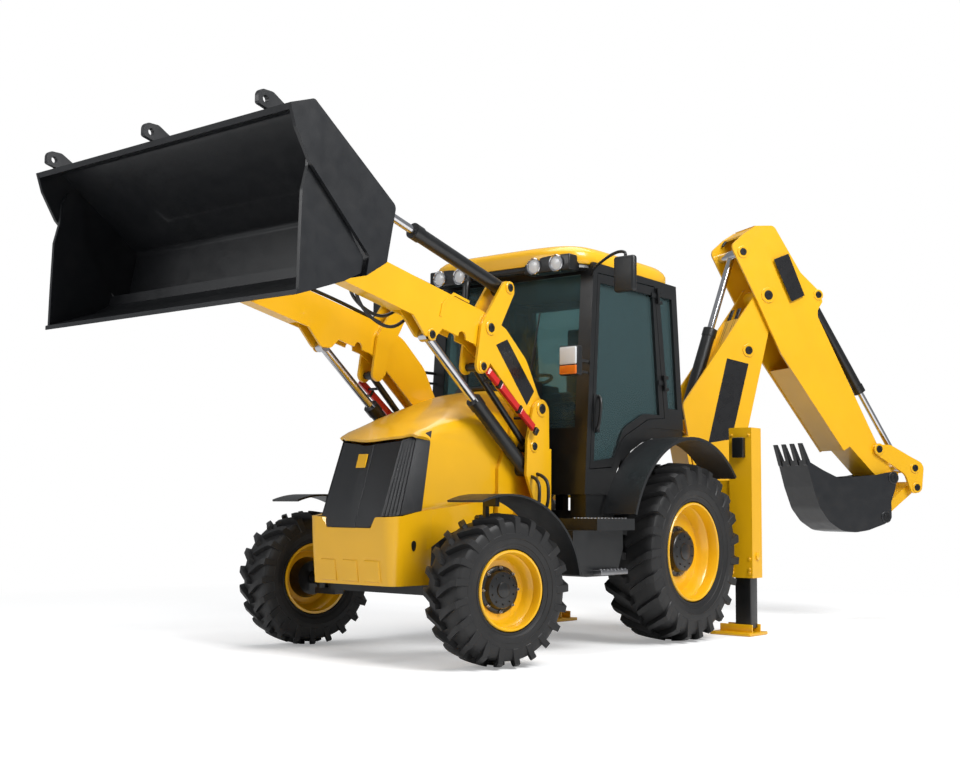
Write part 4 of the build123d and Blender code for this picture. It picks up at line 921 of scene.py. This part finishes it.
# ---- Cab liners ----------------------------------------------------------------------------
# Flat inner panels that close the slot between the cab's lower edge and each rear mudguard, and
# the sills under the cab's floor above the steps.
LINER = [(-0.553, 1.328), (-0.430, 1.414), (-0.294, 1.477), (-0.149, 1.516), (0.0, 1.529),
         (0.149, 1.516), (0.300, 1.475), (0.300, 1.612), (-0.300, 1.612), (-0.470, 1.500),
         (-0.560, 1.360)]
SILL = [(-1.000, 0.915), (-0.640, 0.915), (-0.640, 1.083), (-1.000, 1.083)]
liners = [prism(outline, side * inner, side * outer) for side in (1, -1)
          for outline, inner, outer in ((LINER, 0.733, 0.743), (SILL, 0.600, 0.735))]
build("cab_liners", *merged(liners), black, "chassis")

# ---- Boom and dipper lines -----------------------------------------------------------------
# Steel lines clipped along the boom's inner edge, and short ones bent over the dipper's head.
# body, distances from the middle plane, (reach, height) of the line's corners
HOE_LINES = [
    ("boom", (-0.075, -0.045, 0.045, 0.075), [(0.42, 2.20), (0.50, 2.42), (0.60, 2.66), (0.66, 2.80)]),
    ("dipper_guide", (-0.155, -0.135, 0.135, 0.155),
     [(0.745, 3.49), (0.690, 3.480), (0.640, 3.450), (0.610, 3.405)]),
]
for body, offs, corners in HOE_LINES:
    lines = [swept(curved([hoe(r, z, off) for r, z in corners]), 0.009, 10) for off in offs]
    build(body.replace("_guide", "") + "_lines", *merged(lines), black, body)

# ---- Bucket trim ---------------------------------------------------------------------------
# Bolted wear strip along the clam's cutting edge, and pivot covers and bolts on the bucket's end
# plates.
STRIP = [(-4.148, 2.059), (-4.010, 2.105), (-4.010, 2.114), (-4.148, 2.075)]
head = turned([(0.016, -0.002), (0.016, 0.006), (0.010, 0.010)], 16)
edge_parts = [prism(STRIP, -1.150, 1.150)]
edge_parts += [facing(head, (x, -4.08, 2.086), (0, 0.32, -0.95)) for x in np.linspace(-1.05, 1.05, 13)]
build("cutting_edge", *merged(edge_parts), charcoal, "clam_jaw")
cap = turned([(0.052, -0.002), (0.052, 0.010), (0.046, 0.014), (0.030, 0.014), (0.027, 0.008),
              (0.010, 0.008)], 36)
bolt = turned([(0.014, -0.002), (0.014, 0.006), (0.009, 0.010)], 16)
covers = []
for side in (1, -1):
    covers.append(facing(cap, (side * 1.163, -4.003, 2.893), (side, 0, 0)))
    covers += [facing(bolt, (side * 1.167, y, z), (side, 0, 0))
               for y, z in ((-3.60, 2.42), (-3.72, 2.60), (-3.84, 2.76))]
build("bucket_covers", *merged(covers), charcoal, "shovel")

# ---- Steps ---------------------------------------------------------------------------------
# Galvanised treads with raised studs for grip at each door: one on the toolbox, and a lower step
# hung from it on two straps.
STUD_STEP = 0.042
stud, stud_faces = turned([(0.013, 0.0), (0.011, 0.007), (0.007, 0.007)], 8)
treads = []
for side in (1, -1):
    for z, x0, x1, y0, y1 in ((0.915, 0.76, 1.00, -1.245, -0.80), (0.565, 0.80, 1.00, -1.19, -0.86)):
        if z < 0.6:
            treads.append(sided_box(side, (x0, y0, z - 0.035), (x1, y1, z), 0.006))
            treads += [swept([(side * 0.82, y, z - 0.01), (side * 0.80, y, 0.72)], 0.012)
                       for y in (y0 + 0.03, y1 - 0.03)]
        for row, x in enumerate(np.arange(x0 + 0.03, x1, STUD_STEP)):
            treads += [(stud.reshape(-1, 3) + (side * x, y, z - 0.001), stud_faces)
                       for y in np.arange(y0 + 0.03 + 0.02 * (row % 2), y1 - 0.01, STUD_STEP)]
build("step_treads", *merged(treads), steel, "chassis")

# ---- Stabilisers ---------------------------------------------------------------------------
# Black box-section legs that slide in yellow housings, each with a yellow plate foot reaching
# inboard; a valve block and a seam of bolts on each housing.
LEG_X, LEG_HALF, HOUSING_Y = 1.0, 0.0699, 0.753
bolt = turned([(0.012, -0.002), (0.012, 0.007), (0.008, 0.010)], 6)
plug = turned([(0.03, -0.002), (0.03, 0.012), (0.02, 0.016)], 28)
blocks, bolts = [], []
for hand, side in SIDES:
    body, x = "stabiliser_" + hand, side * LEG_X
    leg = rounded_box((x - LEG_HALF, 0.7781, 0.055), (x + LEG_HALF, 0.8879, 1.18), 0.008)
    x0, x1 = sorted((side * 0.752, side * 1.108))
    foot = merged([rounded_box((x0, 0.685, 0.0), (x1, 0.981, 0.026), 0.006)]
                  + [rounded_box((x0 + 0.05, y, 0.02), (x1 - 0.02, y + 0.015, 0.085), 0.004)
                     for y in (0.76, 0.891)])
    for kind, part, finish in (("leg_", leg, black), ("foot_", foot, yellow)):
        shape = build(kind + hand, *part, finish, body)
        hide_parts(body)
    blocks.append(rounded_box((x - 0.05, 0.707, 1.40), (x + 0.05, 0.7525, 1.56), 0.008))
    bolts += [facing(bolt, (x + off, HOUSING_Y, z), (0, -1, 0))
              for z in (0.49, 0.52, 0.60, 1.58) for off in (-0.075, 0.075)]
    bolts.append(facing(plug, (side * 1.1, 0.833, 0.62), (side, 0, 0)))
build("stabiliser_blocks", *merged(blocks), black, "chassis")
build("stabiliser_bolts", *merged(bolts), yellow, "chassis")

# ---- Exhaust -------------------------------------------------------------------------------
# Black exhaust stack in a round guard, its tip bent to the rear, on the bonnet's right rear.
STACK_X, STACK_Y = -0.30, -1.12
pipe = [(STACK_X, STACK_Y, 1.86), (STACK_X, STACK_Y, 2.3), (STACK_X, STACK_Y, 2.62),
        (STACK_X, -1.105, 2.70), (STACK_X, -1.05, 2.745)]
guard = turned([(0.030, 0.0), (0.042, 0.02), (0.042, 0.46), (0.030, 0.48)], 32)
stack = [swept(curved(pipe), 0.028, 24), facing(guard, (STACK_X, STACK_Y, 1.98), (0, 0, 1))]
build("exhaust_stack", *merged(stack), black, "chassis")

# ---- Closing -------------------------------------------------------------------------------
# Colours shown as they are.
bpy.context.scene.view_settings.view_transform = "Standard"
